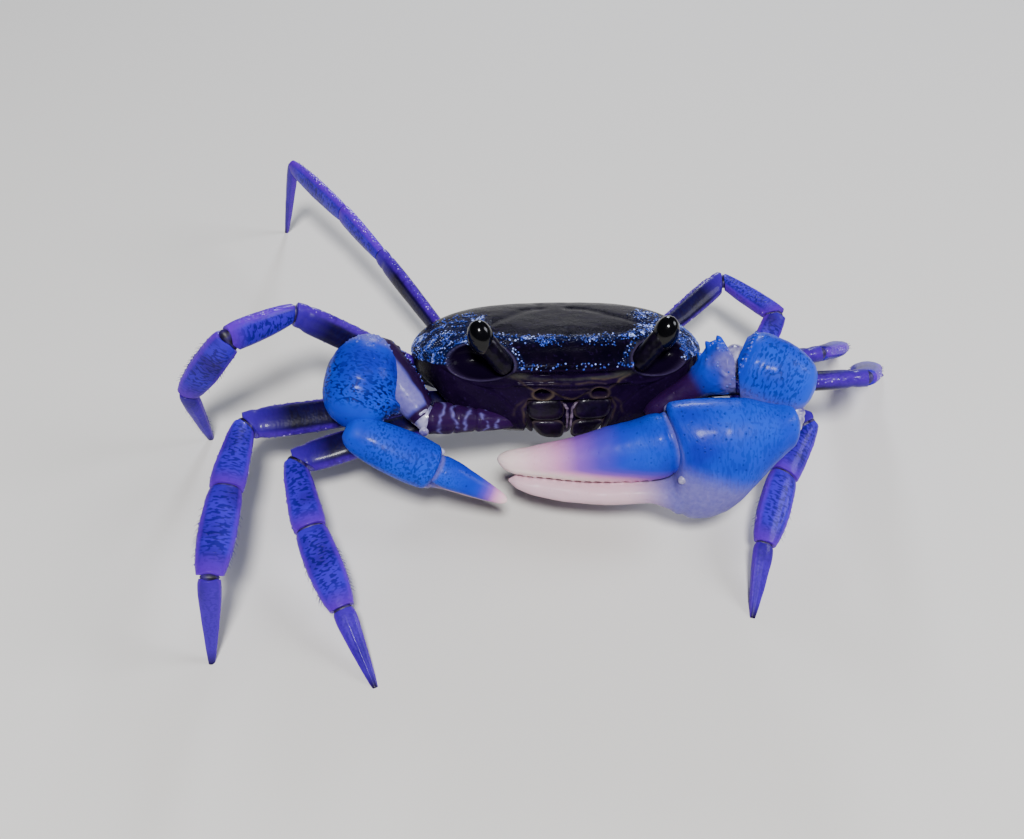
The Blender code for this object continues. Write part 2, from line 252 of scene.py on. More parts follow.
def flow(keys, at):
    """A smooth curve through stations; each key is its place and then its values."""
    keys = np.asarray(keys, float)
    p, v = keys[:, 0], keys[:, 1:]
    step = np.diff(p)[:, None]
    slope = np.diff(v, axis=0) / step
    tangent = np.concatenate([slope[:1], np.zeros_like(slope[:-1]), slope[-1:]])
    same = slope[:-1] * slope[1:] > 0
    mean = 2 * slope[:-1] * slope[1:] / np.where(same, slope[:-1] + slope[1:], 1)
    tangent[1:-1] = np.where(same, mean, 0)
    at = np.asarray(at, float)
    i = np.clip(np.searchsorted(p, at, side="right") - 1, 0, len(p) - 2)
    t = ((at - p[i]) / step[i, 0])[:, None]
    h = step[i]
    value = ((2 * t ** 3 - 3 * t ** 2 + 1) * v[i] + (t ** 3 - 2 * t ** 2 + t) * h * tangent[i]
             + (3 * t ** 2 - 2 * t ** 3) * v[i + 1] + (t ** 3 - t ** 2) * h * tangent[i + 1])
    return value.T


u = turns(SHELL_COLUMNS)
turn = u - 0.5 * np.sin(u)
ahead = np.clip(np.cos(turn), 0, None)
behind = np.clip(-np.cos(turn), 0, None)
edge = FRONT_EDGE_RISE * ahead ** 0.8 + 0.3 * behind
flatness = 3.9 + 1.2 * ahead ** 2 - 0.6 * behind ** 2

TOP_ROWS, WALL_ROWS = 92, 105
top_share = np.sin(np.linspace(0.02, math.pi / 2, TOP_ROWS))[:, None]
top_height = edge + (DOME_TOP - edge) * (1 - top_share ** flatness) ** 0.57

# Profiles from the edge down, as parts of the wall's depth: how far each level stands in.
steps = np.linspace(0, 1, WALL_ROWS)[:, None]
side_share, = flow(((0, 1.0), (0.12, 0.997), (0.3, 0.988), (0.55, 0.965), (0.78, 0.91), (0.92, 0.82),
                    (1, 0.70)), steps[:, 0])
front_share, = flow(((0, 1.0), (0.03, 0.985), (0.07, 0.95), (0.16, 0.91), (0.32, 0.872), (0.5, 0.845),
                     (0.72, 0.815), (0.9, 0.765), (1, 0.67)), steps[:, 0])
wall_depth, = flow(((0, 2.9), (0.388, 4.1), (0.566, 5.9), (0.705, 7.2), (0.85, 7.8), (1, 7.9)), ahead[0])
frontward = ease(ahead, 0.60, 0.95)
under_share = side_share[:, None] * (1 - frontward) + front_share[:, None] * frontward
under_drop = steps * wall_depth
floor_share = np.linspace(0.95, 0.1, 6)[:, None] * under_share[-1:]
share = np.concatenate([top_share + 0 * turn, under_share[1:], floor_share])
height = np.concatenate([top_height, edge - under_drop[1:], edge - under_drop[-1:] + 0 * floor_share])
is_top = np.concatenate([np.ones(TOP_ROWS), np.zeros(WALL_ROWS + 5)])[:, None] + 0 * turn
rim_x, rim_y = outline(turn)
body = np.stack([rim_x * share, WIDEST_LINE + (rim_y - WIDEST_LINE) * share, height], -1)
x, y, z = body[..., 0].copy(), body[..., 1].copy(), body[..., 2].copy()
side = np.sign(x + 1e-9)
across = np.abs(x)

# Relief of the back: low swellings, faint grooves, and the grained crest across the front.
relief = 0.16 * hill(np.hypot((across - 8.2) / 1.25, (y - 0.6) / 1.6), 3.0)
for depth, width, path in ((0.09, 0.7, ((1.6, 2.6), (3.4, 1.8), (5.4, -0.6), (7.4, -2.6), (9.6, -3.6))),
                           (0.07, 0.6, ((1.6, 2.6), (1.5, 4.2), (2.2, 6.0))),
                           (0.07, 0.35, ((0.0, -7.6), (0.0, -4.8)))):
    relief -= depth * groove(across, y, path, width)
crest_path = ((0.45, -7.35), (2.6, -7.5), (4.8, -7.2), (6.4, -6.4), (8.0, -5.6))
crest = groove(across, y, crest_path, 0.5)
spot = np.stack([x, y, 0 * z], -1)
lumps = grain(spot * (0.55, 1.0, 1.0), 0.40, 1)
coarse = grain(spot, 1.3, 2)
flank = ease(across, 6.8, 9.2) * ease(-y, -3.5, 1.5) * ease(across + 0.9 * y, -2.0, 1.5)
near_edge = ease(share, 0.90, 0.99) * (1 - ahead ** 3)
granules = np.clip(1.0 * crest + 0.85 * flank + 0.6 * near_edge * ease(-y, -6.0, -1.0), 0, 1) * is_top
ledge = ease(-y, 7.2, 8.3) * ease(6.6 - across, 0.0, 0.7) * is_top
relief += (0.18 * crest * (0.7 + 0.7 * lumps) + 0.085 * flank * lumps + 0.05 * near_edge * lumps
           + 0.02 * coarse)
relief -= 0.30 * ledge * ease(-y - 7.2, 0.0, 1.6)
z += is_top * relief * ease(1 - share, -0.01, 0.05)
# The front's own edge is a thin turned-up lip, and the side margin is a row of fine grains.
in_front = ease(FRONT_PLATE_HALF - across, 0, 0.6)
lip = hill(share - 0.992, 0.012) * is_top * in_front * ease(-y, 7, 8)
margin = hill(share - 0.995, 0.02) * is_top * (1 - in_front) * ease(-y, -7.0, -2.0)
z += 0.10 * lip + 0.08 * margin * (0.6 + 0.8 * np.sin(turn * 210.0))

# The face, seen from in front: x across, z up. Depth is measured back into the head.
front = ease(-y, 4.0, 6.5) * (1 - is_top)
seen = np.stack([x, 0 * y, z], -1)
wobble = grain(seen, 1.1, 4)
fx, fz = across + 0.16 * wobble, z + 0.16 * grain(seen, 1.1, 5)
# Below the front edge: a hollow for each small feeler, its lid, and a lip along the snout.
depth = 0.55 * hill(np.hypot((fx - 2.9) / 1.9, (z - 0.72) / 0.36), 0.9)
depth -= 0.26 * hill(np.hypot((fx - 2.7) / 1.2, (z - 0.62) / 0.2), 0.8)
depth -= 0.34 * hill(fz + 0.35, 0.26) * ease(FRONT_PLATE_HALF - across, 0, 1.5)
# The pointed plate between the breathing openings, then the openings with their raised rims.
depth -= 0.34 * ease(1.9 - 0.95 * fx + 1.0 * (z + 1.0), 0.0, 0.35) * hill(z + 1.3, 0.75) * (fx < 2.2)
opening = np.hypot((fx - 2.87) / 0.85, (fz + 1.5) / 0.52)
depth += 1.1 * (1 - ease(opening, 0.5, 1.0))
depth -= 0.16 * hill(opening - 1.25, 0.25)
# The mouth is a square hollow behind its plates; a seam crosses the cheek, a ridge runs above it.
depth += 0.85 * (ease(4.35 - across, 0, 0.25) * ease(-z - 2.15, 0, 0.25))
cheek_seam = groove(across, z, ((12.6, 0.6), (9.6, -0.6), (7.2, -1.7), (5.6, -3.2), (5.0, -5.2)), 0.16)
depth += 0.09 * cheek_seam
ridge = groove(across, z, ((12.4, 0.9), (10.6, -0.2), (8.9, -0.75), (6.6, -0.85), (5.4, -0.35)), 0.16)
depth -= 0.16 * ridge * (0.7 + 0.5 * lumps)
whole = np.stack([x, y, z], -1)
depth += 0.05 * grain(whole, 0.9, 3) + 0.02 * grain(whole, 0.35, 6)
y += front * depth
# Pale seams between the plates of the face: each one's corners, width and strength.
lines = 0 * x
for path, width, weight in ((((2.2, -1.15), (1.3, -1.45), (0.55, -1.95), (0.0, -2.15)), 0.13, 0.9),
                            (((0.0, -0.85), (1.3, -0.8), (2.2, -1.05)), 0.08, 0.4),
                            (((3.6, -1.2), (4.3, -0.8), (4.9, -0.1), (5.9, 0.4)), 0.13, 0.8),
                            (((3.55, -1.9), (4.2, -2.1), (4.75, -3.2), (4.5, -4.8), (3.9, -5.8)), 0.12, 0.5),
                            (((4.6, -2.2), (5.3, -2.9), (5.6, -4.0)), 0.14, 0.25),
                            (((2.0, 0.15), (3.2, 0.05), (4.3, 0.2), (5.2, 0.5)), 0.09, 0.55),
                            (((0.3, -0.2), (1.6, -0.15), (3.4, -0.3)), 0.07, 0.45)):
    lines = np.maximum(lines, weight * groove(fx, fz, path, width))
seam = np.clip(np.maximum(lines, hill(opening - 1.15, 0.2)), 0, 1) * front
seam *= 0.55 + 0.45 * np.clip(wobble * 3 + 0.5, 0, 1)
# A dry greyish film lies below the front edge and between the eyes.
film = np.maximum(hill(np.hypot((fx - 5.3) / 1.7, (z - 0.55) / 0.7), 0.9),
                  0.7 * hill(z - 0.2 - 0.03 * fx, 0.3) * (fx < 6)) * (1 - is_top * ease(-y, 0, 9.6))

# Eye sockets: an egg-shaped hollow pressed into the front edge, with a thin raised rim.
c, s = math.cos(SOCKET_TURN), math.sin(SOCKET_TURN)
dx, dy, dz = (k - middle for k, middle in zip((across, y, z), SOCKET_MIDDLE))
qx = (dx * c + dy * s) / SOCKET_HALF[0]
qy = (-dx * s + dy * c) / SOCKET_HALF[1]
qz = dz / SOCKET_HALF[2]
radius = np.sqrt(qx ** 2 + qy ** 2 + qz ** 2)
inside = radius < 1
back_wall = np.sqrt(np.clip(1 - qx ** 2 - qz ** 2, 0, 1))
rim = hill(radius - 1.05, 0.04) * (qy > -1.2) * (qy < 0.95)
brow = sum(hill(radius - k, 0.03) for k in (1.17, 1.28)) * is_top * (qy < 0.95)
push = np.where(inside, (back_wall - qy) * SOCKET_HALF[1], 0) - 0.10 * rim
x += side * (-push * s)
y += push * c
z += 0.06 * rim * np.sign(dz) + 0.05 * brow
socket = ease(1.02 - radius, 0, 0.05)
rim = rim * (1 - film)
granules = np.clip(granules + 0.8 * brow, 0, 1) * (1 - socket)

wide_crest = groove(across, body[..., 1], crest_path, 0.8)
beaded = np.clip(0.75 * wide_crest + 0.55 * flank + 0.4 * near_edge * ease(-y, -6.0, -1.0) + 0.5 * brow, 0, 1)
beaded = np.clip(beaded * (0.3 + 1.1 * ease(coarse, -0.2, 0.3)) + 0.3 * lip, 0, 1) * is_top * (1 - socket)
beaded = np.where(beaded < 0.08, 0, beaded)
shell = skin("carapace_and_face", stood(np.stack([x, y, z], -1)),
             {"grained": granules, "rim": np.clip(rim, 0, 1), "seam": seam * (1 - inside), "film": film,
              "socket": socket, "face": front, "beaded": beaded})

# Wet black-violet shell: a clear water film over dark pigment. The grained parts break the light
# into blue-white sparks; the front plate and the face stay smooth and nearly black. A pattern's
# scale here is the number of its marks to each millimetre, over MM.
shell_finish, tree, place = new_finish("wet_dark_violet_shell", IOR=1.40, Specular_IOR_Level=0.02,
                                       Coat_Weight=0.06, Coat_IOR=1.33, Coat_Roughness=0.05)
mark = read_marks(tree, "grained", "rim", "seam", "film", "socket", "face")
blotch = node(tree, "TexNoise", place, 0.42 / MM, Detail=5.0, Roughness=0.6)
fleck = node(tree, "TexNoise", place, 2.6 / MM, Detail=3.0, Roughness=0.6)
colour = node(tree, "ValToRGB", blotch, stops=((0.34, "050310"), (0.58, "0C0616"), (0.70, "120A1E")))
face_tone = layered(tree, "080412", (blotch, "200C36"))
face_part = node(tree, "Math", mark["face"], 0.8, operation="MULTIPLY")
speck = node(tree, "Math", node(tree, "MapRange", fleck, 0.60, 0.72), 0.35, operation="MULTIPLY")
film_part = node(tree, "Math", mark["film"], blotch, operation="MULTIPLY")
film_part = node(tree, "MapRange", film_part, 0.2, 0.6, 0, 0.7)
rim_part = node(tree, "Math", mark["rim"], 0.5, operation="MULTIPLY")
seam_part = node(tree, "MapRange", blotch, 0.25, 0.6)
seam_part = node(tree, "Math", mark["seam"], seam_part, operation="MULTIPLY")
colour = layered(tree, colour, (face_part, face_tone), (mark["grained"], "0C1238"), (speck, "301A52"),
                 (mark["socket"], "0C0419"), (film_part, "4A4C42"), (rim_part, "4C4264"),
                 (seam_part, "564A3A"))
rough = node(tree, "MapRange", blotch, 0.3, 0.7, 0.20, 0.34)
# Shell grains are about 0.15 mm across; the short wrinkles are drawn at 0.4 mm so that they show.
wrinkle = node(tree, "Mapping", place, Scale=(1.0, 1.9, 1.9))
pebbles = node(tree, "TexVoronoi", Vector=wrinkle, Scale=2.5 / MM, feature="SMOOTH_F1", Smoothness=0.35)
bead_part = node(tree, "MapRange", mark["grained"], 0, 1, 0.06)
pebbles = node(tree, "Math", pebbles, bead_part, operation="MULTIPLY")
bump = node(tree, "Bump", 1.0, -0.00022, Height=pebbles)
bump = node(tree, "Bump", 0.35, 0.00006, Height=fleck, Normal=bump)
lay(tree, Base_Color=colour, Normal=bump, Roughness=rough)
dress(shell, shell_finish, "shell", "carapace")


def growth_tree(name, leaning):
    """Geometry Nodes that set grains, or leaning bristles, where a surface's mark is above zero."""
    tree = bpy.data.node_groups.new(name, "GeometryNodeTree")
    sockets = {"Surface": "Geometry", "Mark": "String", "Spacing": "Float", "Radius": "Float", "Seed": "Int",
               "Finish": "Material"}
    if leaning:
        sockets.update(Length="Float", Lean="Vector")
    for label, kind in sockets.items():
        tree.interface.new_socket(label, in_out="INPUT", socket_type="NodeSocket" + kind)
    tree.interface.new_socket("Grown", in_out="OUTPUT", socket_type="NodeSocketGeometry")
    given = {socket.name: socket for socket in tree.nodes.new("NodeGroupInput").outputs}
    share = node(tree, "GeometryNodeInputNamedAttribute", given["Mark"], data_type="FLOAT")
    spots = node(tree, "GeometryNodeDistributePointsOnFaces", distribute_method="POISSON",
                 Mesh=given["Surface"], Distance_Min=given["Spacing"], Density_Max=6e7, Density_Factor=share,
                 Seed=given["Seed"]).node.outputs
    vary = node(tree, "FunctionNodeRandomValue", 0.65, 1.2, data_type="FLOAT", Seed=given["Seed"])
    if leaning:
        shape = node(tree, "GeometryNodeMeshCone", Vertices=4, Radius_Top=0.000008,
                     Radius_Bottom=given["Radius"], Depth=given["Length"])
        lean = node(tree, "VectorMath", spots["Normal"], given["Lean"], operation="ADD")
        turned = node(tree, "FunctionNodeAlignRotationToVector", axis="Z", Vector=lean)
        size = node(tree, "CombineXYZ", 1.0, 1.0, vary)
    else:
        shape = node(tree, "GeometryNodeMeshUVSphere", 8, 5, given["Radius"])
        turned = spots["Rotation"]
        size = node(tree, "VectorMath", (1.0, 1.0, 0.62), operation="SCALE", Scale=vary)
    grown = node(tree, "GeometryNodeInstanceOnPoints", Points=spots["Points"], Instance=shape,
                 Rotation=turned, Scale=size)
    for kind in ("RealizeInstances", "SetShadeSmooth"):
        grown = node(tree, "GeometryNode" + kind, grown)
    grown = node(tree, "GeometryNodeSetMaterial", grown, Material=given["Finish"])
    node(tree, "NodeGroupOutput", grown)
    return tree


def grow(name, tree, beds, finish, slot):
    """Runs the tree on each bed (a piece and its settings) and keeps what grew as one plain piece."""
    identifiers = {item.name: item.identifier for item in tree.interface.items_tree if item.in_out == "INPUT"}
    gathered = bmesh.new()
    for seed, (bed, settings) in enumerate(beds):
        holder = placed("bed", bed.data)
        growth = holder.modifiers.new("growth", "NODES")
        growth.node_group = tree
        for label, value in {**settings, "Seed": seed, "Finish": finish}.items():
            growth[identifiers[label]] = value
        made = bpy.data.meshes.new_from_object(holder.evaluated_get(bpy.context.evaluated_depsgraph_get()))
        gathered.from_mesh(made)
        bpy.data.objects.remove(holder)
        bpy.data.meshes.remove(made)
    mesh = bpy.data.meshes.new(name)
    gathered.to_mesh(mesh)
    gathered.free()
    mesh.materials.clear()
    mesh.shade_smooth()
    dress(placed(name, mesh), finish, slot)


# The grains of the crest, the flanks and the front lip are separate wet beads, each about 0.2 mm
# wide. Blue-white painted highlights sit on some beads among dark ones, so that the crest sparks.
grain_tree = growth_tree("scattered_grains", leaning=False)
# Dark blue grain colour, with blue-white painted highlight at the top of the ramp.
grain_painted_sparkle_finish = blotched("wet_dark_shell_grain_painted_sparkle", 0.9,
                            ((0.38, "080C30"), (0.54, "2C48B0"), (0.68, "B4C4FF")), 2.0, Roughness=0.16,
                            Specular_Tint="A8C0FF", Coat_Weight=0.5, Coat_Tint="E8EEFF")
grow("shell_grains", grain_tree, [(shell, {"Mark": "beaded", "Spacing": 0.00014, "Radius": 0.000105})],
     grain_painted_sparkle_finish, "shell")

# ----------------------------------------------------------
# The mouth limbs that close the mouth like two doors, with their small outer strips.
# Flat plates of thin dark shell, each hinged below the mouth, with a seam where the upper plate
# meets the lower one.
# ----------------------------------------------------------
# Thin hard shell, nearly black, with browner worn edges and a faint gloss.
mouth_finish, tree, place = new_finish("thin_violet_mouth_shell", Roughness=0.35, Specular_IOR_Level=0.15,
                                       Coat_Weight=0.15, Coat_Roughness=0.1)
edge_mark = read_marks(tree, "rim")["rim"]
blotch = node(tree, "TexNoise", place, 0.9 / MM, Detail=4.0, Roughness=0.6)
worn = node(tree, "Math", edge_mark, blotch, operation="MULTIPLY")
worn = node(tree, "MapRange", worn, 0.25, 0.62)
colour = node(tree, "ValToRGB", blotch, stops=((0.35, "07030E"), (0.68, "160826")))
pits = node(tree, "TexVoronoi", place, Scale=3.2 / MM)
lay(tree, Base_Color=layered(tree, colour, (worn, "40363A")),
    Normal=node(tree, "Bump", 0.35, 0.00006, Height=pits))

# The feelers are thin soft shell, lilac-white with dark blotches at their joints.
feeler_finish = blotched("pale_lilac_mouth_feeler", 2.2, ((0.36, "1E1030"), (0.62, "6E5C72")), Roughness=0.4)

# Each plate's corners on the left side, its thickness, its bulge and how square its outline is.
MOUTH_PLATES = {
    "door": ((0.42, -7.95, -4.6), (4.2, -7.75, -4.6), (4.6, -7.8, -2.2), (0.6, -8.05, -1.95), 0.5, 0.22, 3.2),
    "door_base": ((0.3, -7.2, -6.9), (2.9, -6.95, -6.7), (4.0, -7.6, -4.6), (0.4, -7.8, -4.6), 0.45, 0.15,
                  3.2),
    "strip": ((3.3, -7.1, -6.2), (4.2, -7.0, -6.0), (4.75, -7.9, -3.1), (4.2, -8.0, -3.0), 0.32, 0.15, 2.4),
}
FEELER = ((0, 0.8, -8.2, -2.6, 0.05), (0.08, 0.66, -8.35, -2.65, 0.17), (0.3, 0.3, -8.45, -3.2, 0.19),
          (0.36, 0.24, -8.42, -3.35, 0.12), (0.6, 0.22, -8.4, -4.2, 0.17), (0.66, 0.2, -8.35, -4.4, 0.11),
          (0.9, 0.17, -8.2, -5.2, 0.13), (1, 0.16, -8.1, -5.5, 0.04))
for letter, sign in (("L", 1), ("R", -1)):
    for part, (*corners, thickness, bulge, square) in MOUTH_PLATES.items():
        level = np.linspace(0.03, 1, 26)[:, None]
        a = (signed_power(np.cos(turns(72)), 2 / square) * level + 1) / 2
        b = (signed_power(np.sin(turns(72)), 2 / square) * level + 1) / 2
        weights = ((1 - a) * (1 - b), a * (1 - b), a * b, (1 - a) * b)
        flat = sum(weight[..., None] * corner * (sign, 1, 1) for weight, corner in zip(weights, corners))
        plump = flat.copy()
        plump[..., 1] -= bulge * (1 - level ** 4) + thickness * np.sqrt(np.clip(1 - level ** 6, 0, 1))
        worn_edge = np.concatenate([ease(level, 0.80, 0.97) + 0 * a, 0 * a])
        grid = stood(np.concatenate([plump, flat[::-1]]))
        plate = skin("mouth_%s_%s" % (part, letter), grid, {"rim": worn_edge})
        dress(plate, mouth_finish, "shell", *(["mouth_plate_" + letter] if part == "door" else []))
    # The feeler of each door folds down along the middle line, pale and soft.
    bend_x, bend_y, bend_z, width = flow(FEELER, np.linspace(0, 1, 60))[..., None]
    grid = np.stack([sign * (bend_x + width * np.cos(turns(24))), bend_y + width * np.sin(turns(24)),
                     bend_z + 0 * turns(24)], -1)
    dress(skin("mouth_feeler_" + letter, stood(grid)), feeler_finish, "shell")

# ----------------------------------------------------------
# The eyes: short movable stalks that rise from the sockets, each with a glossy dark cornea on top.
# The stalk is the same hard dark skin as the shell; the cornea is clear and smooth, with a faint
# greyer ring where the two meet.
# ----------------------------------------------------------
def unit(vector):
    """The same direction with a length of one, for one arrow or for rows of them."""
    vector = np.asarray(vector, float)
    return vector / np.linalg.norm(vector, axis=-1, keepdims=True)


def rings(start, end, share, depth_half, thin_half, shift, depth_axis, columns, square=2.0):
    """Oval rings along a line, as a grid of points, with each point's angle."""
    start, end = np.asarray(start, float), np.asarray(end, float)
    along = unit(end - start)
    depth = unit(np.asarray(depth_axis) - np.dot(depth_axis, along) * along)
    thin = np.cross(along, depth)
    angle = turns(columns)
    c, s = signed_power(np.cos(angle), 2 / square), signed_power(np.sin(angle), 2 / square)
    share, depth_half, thin_half, shift = (k[:, None, None] for k in (share, depth_half, thin_half, shift))
    outward = depth_half * c[..., None] * depth + thin_half * s[..., None] * thin
    middle = start + share * (end - start) + shift * depth
    length = np.linalg.norm(outward, axis=-1, keepdims=True)
    return middle + outward, angle, outward / np.maximum(length, 1e-9)


# The stalk's shell is dark and only a little glossy, so that the cornea stands out against it.
stalk_finish = blotched("dark_eyestalk_shell", 1.5, ((0.35, "04020A"), (0.7, "10081C")),
                        mark="rim", tone="120E1A", Roughness=0.32, Specular_IOR_Level=0.10,
                        Coat_Weight=0.08, Coat_Roughness=0.06)
# The cornea is clear over black and mirrors the lamps in one small point. Its facets are drawn
# 0.11 mm wide, coarser than real ones.
cornea_finish = blotched("black_glossy_cornea", 0.7, ((0, "020203"), (1, "08080C")), 1.0,
                         pits=("TexVoronoi", 9.0, 0.12, 0.00002), Roughness=0.15,
                         Specular_IOR_Level=0.2, Coat_Weight=0.15, Coat_Roughness=0.04)

for letter, sign in (("L", 1), ("R", -1)):
    foot = stood((sign * 6.9, -9.2, 1.9))
    crown = stood((sign * 9.2, -9.4, 4.95))
    rise = unit(crown - foot)
    start, end = foot - rise * 0.7, crown - rise * 0.5
    level = np.linspace(0, 1, 60)
    width, deep = flow(((0, 0.85, 0.8), (0.2, 1.05, 0.95), (0.5, 1.1, 0.98), (0.72, 1.10, 1.02),
                        (0.88, 1.04, 1.0), (0.96, 0.9, 0.88), (1, 0.65, 0.65)), level)
    grid, _, outward = rings(start, end, level, width, deep, 0 * level, (0, 0, 1), 64)
    grid += outward * (0.03 * grain(grid, 0.5, 7))[..., None]
    stalk = skin("eyestalk_" + letter + "_shell", grid, {"rim": hill(level - 0.905, 0.03)[:, None]})
    dress(stalk, stalk_finish, "eyestalk", "eyestalk_" + letter)
    level = -np.cos(np.linspace(0.25, math.pi - 0.02, 44))
    width = 1.3 * np.sqrt(np.clip(1 - level ** 2, 0, 1)) ** 0.92
    upright = unit(rise + np.array((-0.30 * sign, 0, 0.45)))
    grid, _, _ = rings(crown - upright * 2.15, crown + upright * 1.55, (level + 1) / 2, width, width * 0.98,
                       0 * level, (0, 0, 1), 56)
    dress(skin("cornea_" + letter, grid), cornea_finish, "cornea", "eye_" + letter)

# ----------------------------------------------------------
# The breastplate and the folded tail under the shell, with the leg bases round the rim.
# Thinner shell than the back, dull violet-grey, grown in fused bands with a seam between each
# pair of legs.
# ----------------------------------------------------------
# Unwetted and unpolished, so it gives the eye a dull violet-grey, with paler skin in the seams.
under_finish = blotched("dull_violet_breastplate", 0.5, ((0.33, "21152F"), (0.70, "5A4A6B")), 5.0, 0.6,
                        mark="groove", tone="8A7A62", pits=("TexNoise", 3.5, 0.3, 0.00006),
                        Roughness=0.42, Coat_Weight=0.3, Coat_Roughness=0.2)

turn = turns(200)
share, level = flow(((0, 0.3, -3.4), (0.12, 0.8, -3.55), (0.25, 0.97, -3.9), (0.4, 1.0, -4.5),
                     (0.55, 0.96, -5.2), (0.7, 0.84, -5.85), (0.84, 0.6, -6.25), (1.0, 0.08, -6.45)),
                    np.linspace(0, 1, 80))
share, level = share[:, None], level[:, None] + 0 * turn
x = 9.9 * signed_power(np.sin(turn), 2 / 2.7) * share
y = 0.6 - np.where(np.cos(turn) > 0, 7.5, 7.4) * signed_power(np.cos(turn), 2 / 2.7) * share
bands = np.zeros_like(x)
for start_y, bend in ((-4.0, 0.35), (-1.2, 0.1), (1.9, -0.12), (4.6, -0.35)):
    bands = np.maximum(bands, hill(y - start_y + bend * np.abs(x) * 0.5, 0.16) * ease(np.abs(x), 2.0, 3.0))
under = ease(-level, 4.6, 5.6)
level = level + 0.22 * bands * under
breast = skin("breastplate", stood(np.stack([x, y, level], -1)), {"groove": 0.8 * bands * under})
dress(breast, under_finish, "underside", "sternum")

lengthwise, half, level = flow(((0, -4.75, 0.35, -7.0), (0.04, -4.6, 0.75, -7.0), (0.25, -2.0, 1.45, -7.0),
                                (0.55, 1.5, 2.25, -7.0), (0.8, 4.6, 3.2, -6.95), (0.97, 6.7, 3.55, -6.65),
                                (1, 6.95, 3.2, -6.55)), np.linspace(0, 1, 110))
angle = turns(60)
joint_lines = sum(hill(lengthwise - k, 0.14) for k in (-3.0, -1.2, 0.6, 2.3, 3.9, 5.4))[:, None]
thick = 0.38 * (1 - 0.45 * joint_lines)
x = half[:, None] * np.cos(angle) * (1 - 0.05 * joint_lines)
y = lengthwise[:, None] + 0 * angle
z = level[:, None] + thick * signed_power(np.sin(angle), 0.6)
tail = skin("folded_tail", stood(np.stack([x, y, z], -1)), {"groove": 0.8 * joint_lines})
dress(tail, under_finish, "underside", "abdomen")

# ----------------------------------------------------------
# The eight walking legs, four on each side, in four hard tubes with soft skin at the joints.
# Flattened violet shell with a grained keel along the back edge and bristles towards the toe.
# ----------------------------------------------------------
JOINT_GAP = 0.3
BASE_LENGTH = 3.2
LEG_ROOTS = {2: (9.8, -4.6, -4.4), 3: (10.8, -1.2, -4.4), 4: (10.8, 2.4, -4.5), 5: (8.6, 5.8, -3.8)}
LEG_LENGTHS = {2: (15.3, 8.0, 9.0), 3: (18.9, 8.8, 10.2), 4: (15.9, 7.8, 9.6), 5: (15.8, 8.7, 12.0)}
LEG_STOUTNESS = {2: 1.04, 3: 1.05, 4: 0.98, 5: 0.84}
# Each segment's direction, from the body to the toe: degrees forward of straight out, and degrees
# above level.
LEG_POSE = {
    ("R", 2): ((11, -10), (102, -11), (110, -12), (113, -25)),
    ("R", 3): ((10, 2), (83, 1), (86, -1), (74, -74)),
    ("R", 4): ((-7, 29), (38, 5), (-12, -57), (-118, -75)),
    ("R", 5): ((-59, 14), (-60, 6), (-58, 2), (-60, -73)),
    ("L", 2): ((0, -12), (126, -9), (117, -10), (110, -25)),
    ("L", 3): ((10, 12), (-60, -34), (-58, -35), (-20, -36)),
    ("L", 4): ((4, 14), (-48, -30), (-62, -36), (-66, -42)),
    ("L", 5): ((-40, 9), (58, 2), (125, -32), (118, -25)),
}
# Half-widths of each segment along its length: its share, then from keel to keel, then across.
SEGMENTS = {
    "merus": ((0.0, 0.85, 0.72), (0.06, 0.95, 0.82), (0.2, 1.15, 0.9), (0.5, 1.45, 0.95), (0.8, 1.6, 1.0),
              (0.94, 1.5, 0.95), (1.0, 1.3, 0.9)),
    "carpus": ((0.0, 1.0, 0.8), (0.1, 1.15, 0.9), (0.25, 1.3, 0.95), (0.6, 1.5, 1.0), (0.86, 1.6, 1.0),
               (1.0, 1.5, 0.9)),
    "propodus": ((0.0, 1.35, 0.8), (0.06, 1.5, 0.88), (0.16, 1.6, 0.92), (0.5, 1.65, 0.92), (0.85, 1.4, 0.85),
                 (1.0, 1.1, 0.7)),
    "dactylus": ((0.0, 0.85, 0.6), (0.06, 0.98, 0.66), (0.12, 1.0, 0.68), (0.45, 0.78, 0.55),
                 (0.8, 0.48, 0.4), (1.0, 0.26, 0.26)),
}


def heading(sign, forward, up):
    """A leg segment's direction from its two angles."""
    a, e = math.radians(forward), math.radians(up)
    return np.array([sign * math.cos(a) * math.cos(e), -math.sin(a) * math.cos(e), math.sin(e)])


def trimmed(grid, slide, joint, normal, clearance):
    """Slides points back along a limb to stay behind the plane it shares with its neighbour."""
    over = (grid - joint) @ normal + clearance
    return grid - slide * (np.clip(over, 0, None) / (slide @ normal))[..., None]


def limb(start, end, before, after, keys, stout, hinge, rows, columns, shaping, square=2.2):
    """One hard tube of a limb between two joints, shaped by a relief of its own."""
    along = unit(end - start)
    thin = unit(hinge - (hinge @ along) * along)
    t = np.linspace(0, 1, rows)
    share = keys[0][0] + (keys[-1][0] - keys[0][0]) * (t - 0.045 * np.sin(t * math.tau))
    half_depth, half_thin = flow(keys, share)
    grid, angle, outward = rings(start, end, share, half_depth * stout, half_thin * stout, 0 * share,
                                 np.cross(thin, along), columns, square)
    share = share[:, None]
    relief, marks = shaping(share + 0 * angle, angle + 0 * share, np.linalg.norm(end - start))
    grid = grid + outward * relief[..., None]
    if after is not None:
        grid = trimmed(grid, along, end, unit(along + after), JOINT_GAP / 2 + 0.3 * (1 - share))
    if before is not None:
        grid = trimmed(grid, -along, start, -unit(along + before), JOINT_GAP / 2 + 0.3 * share)
    return grid, marks


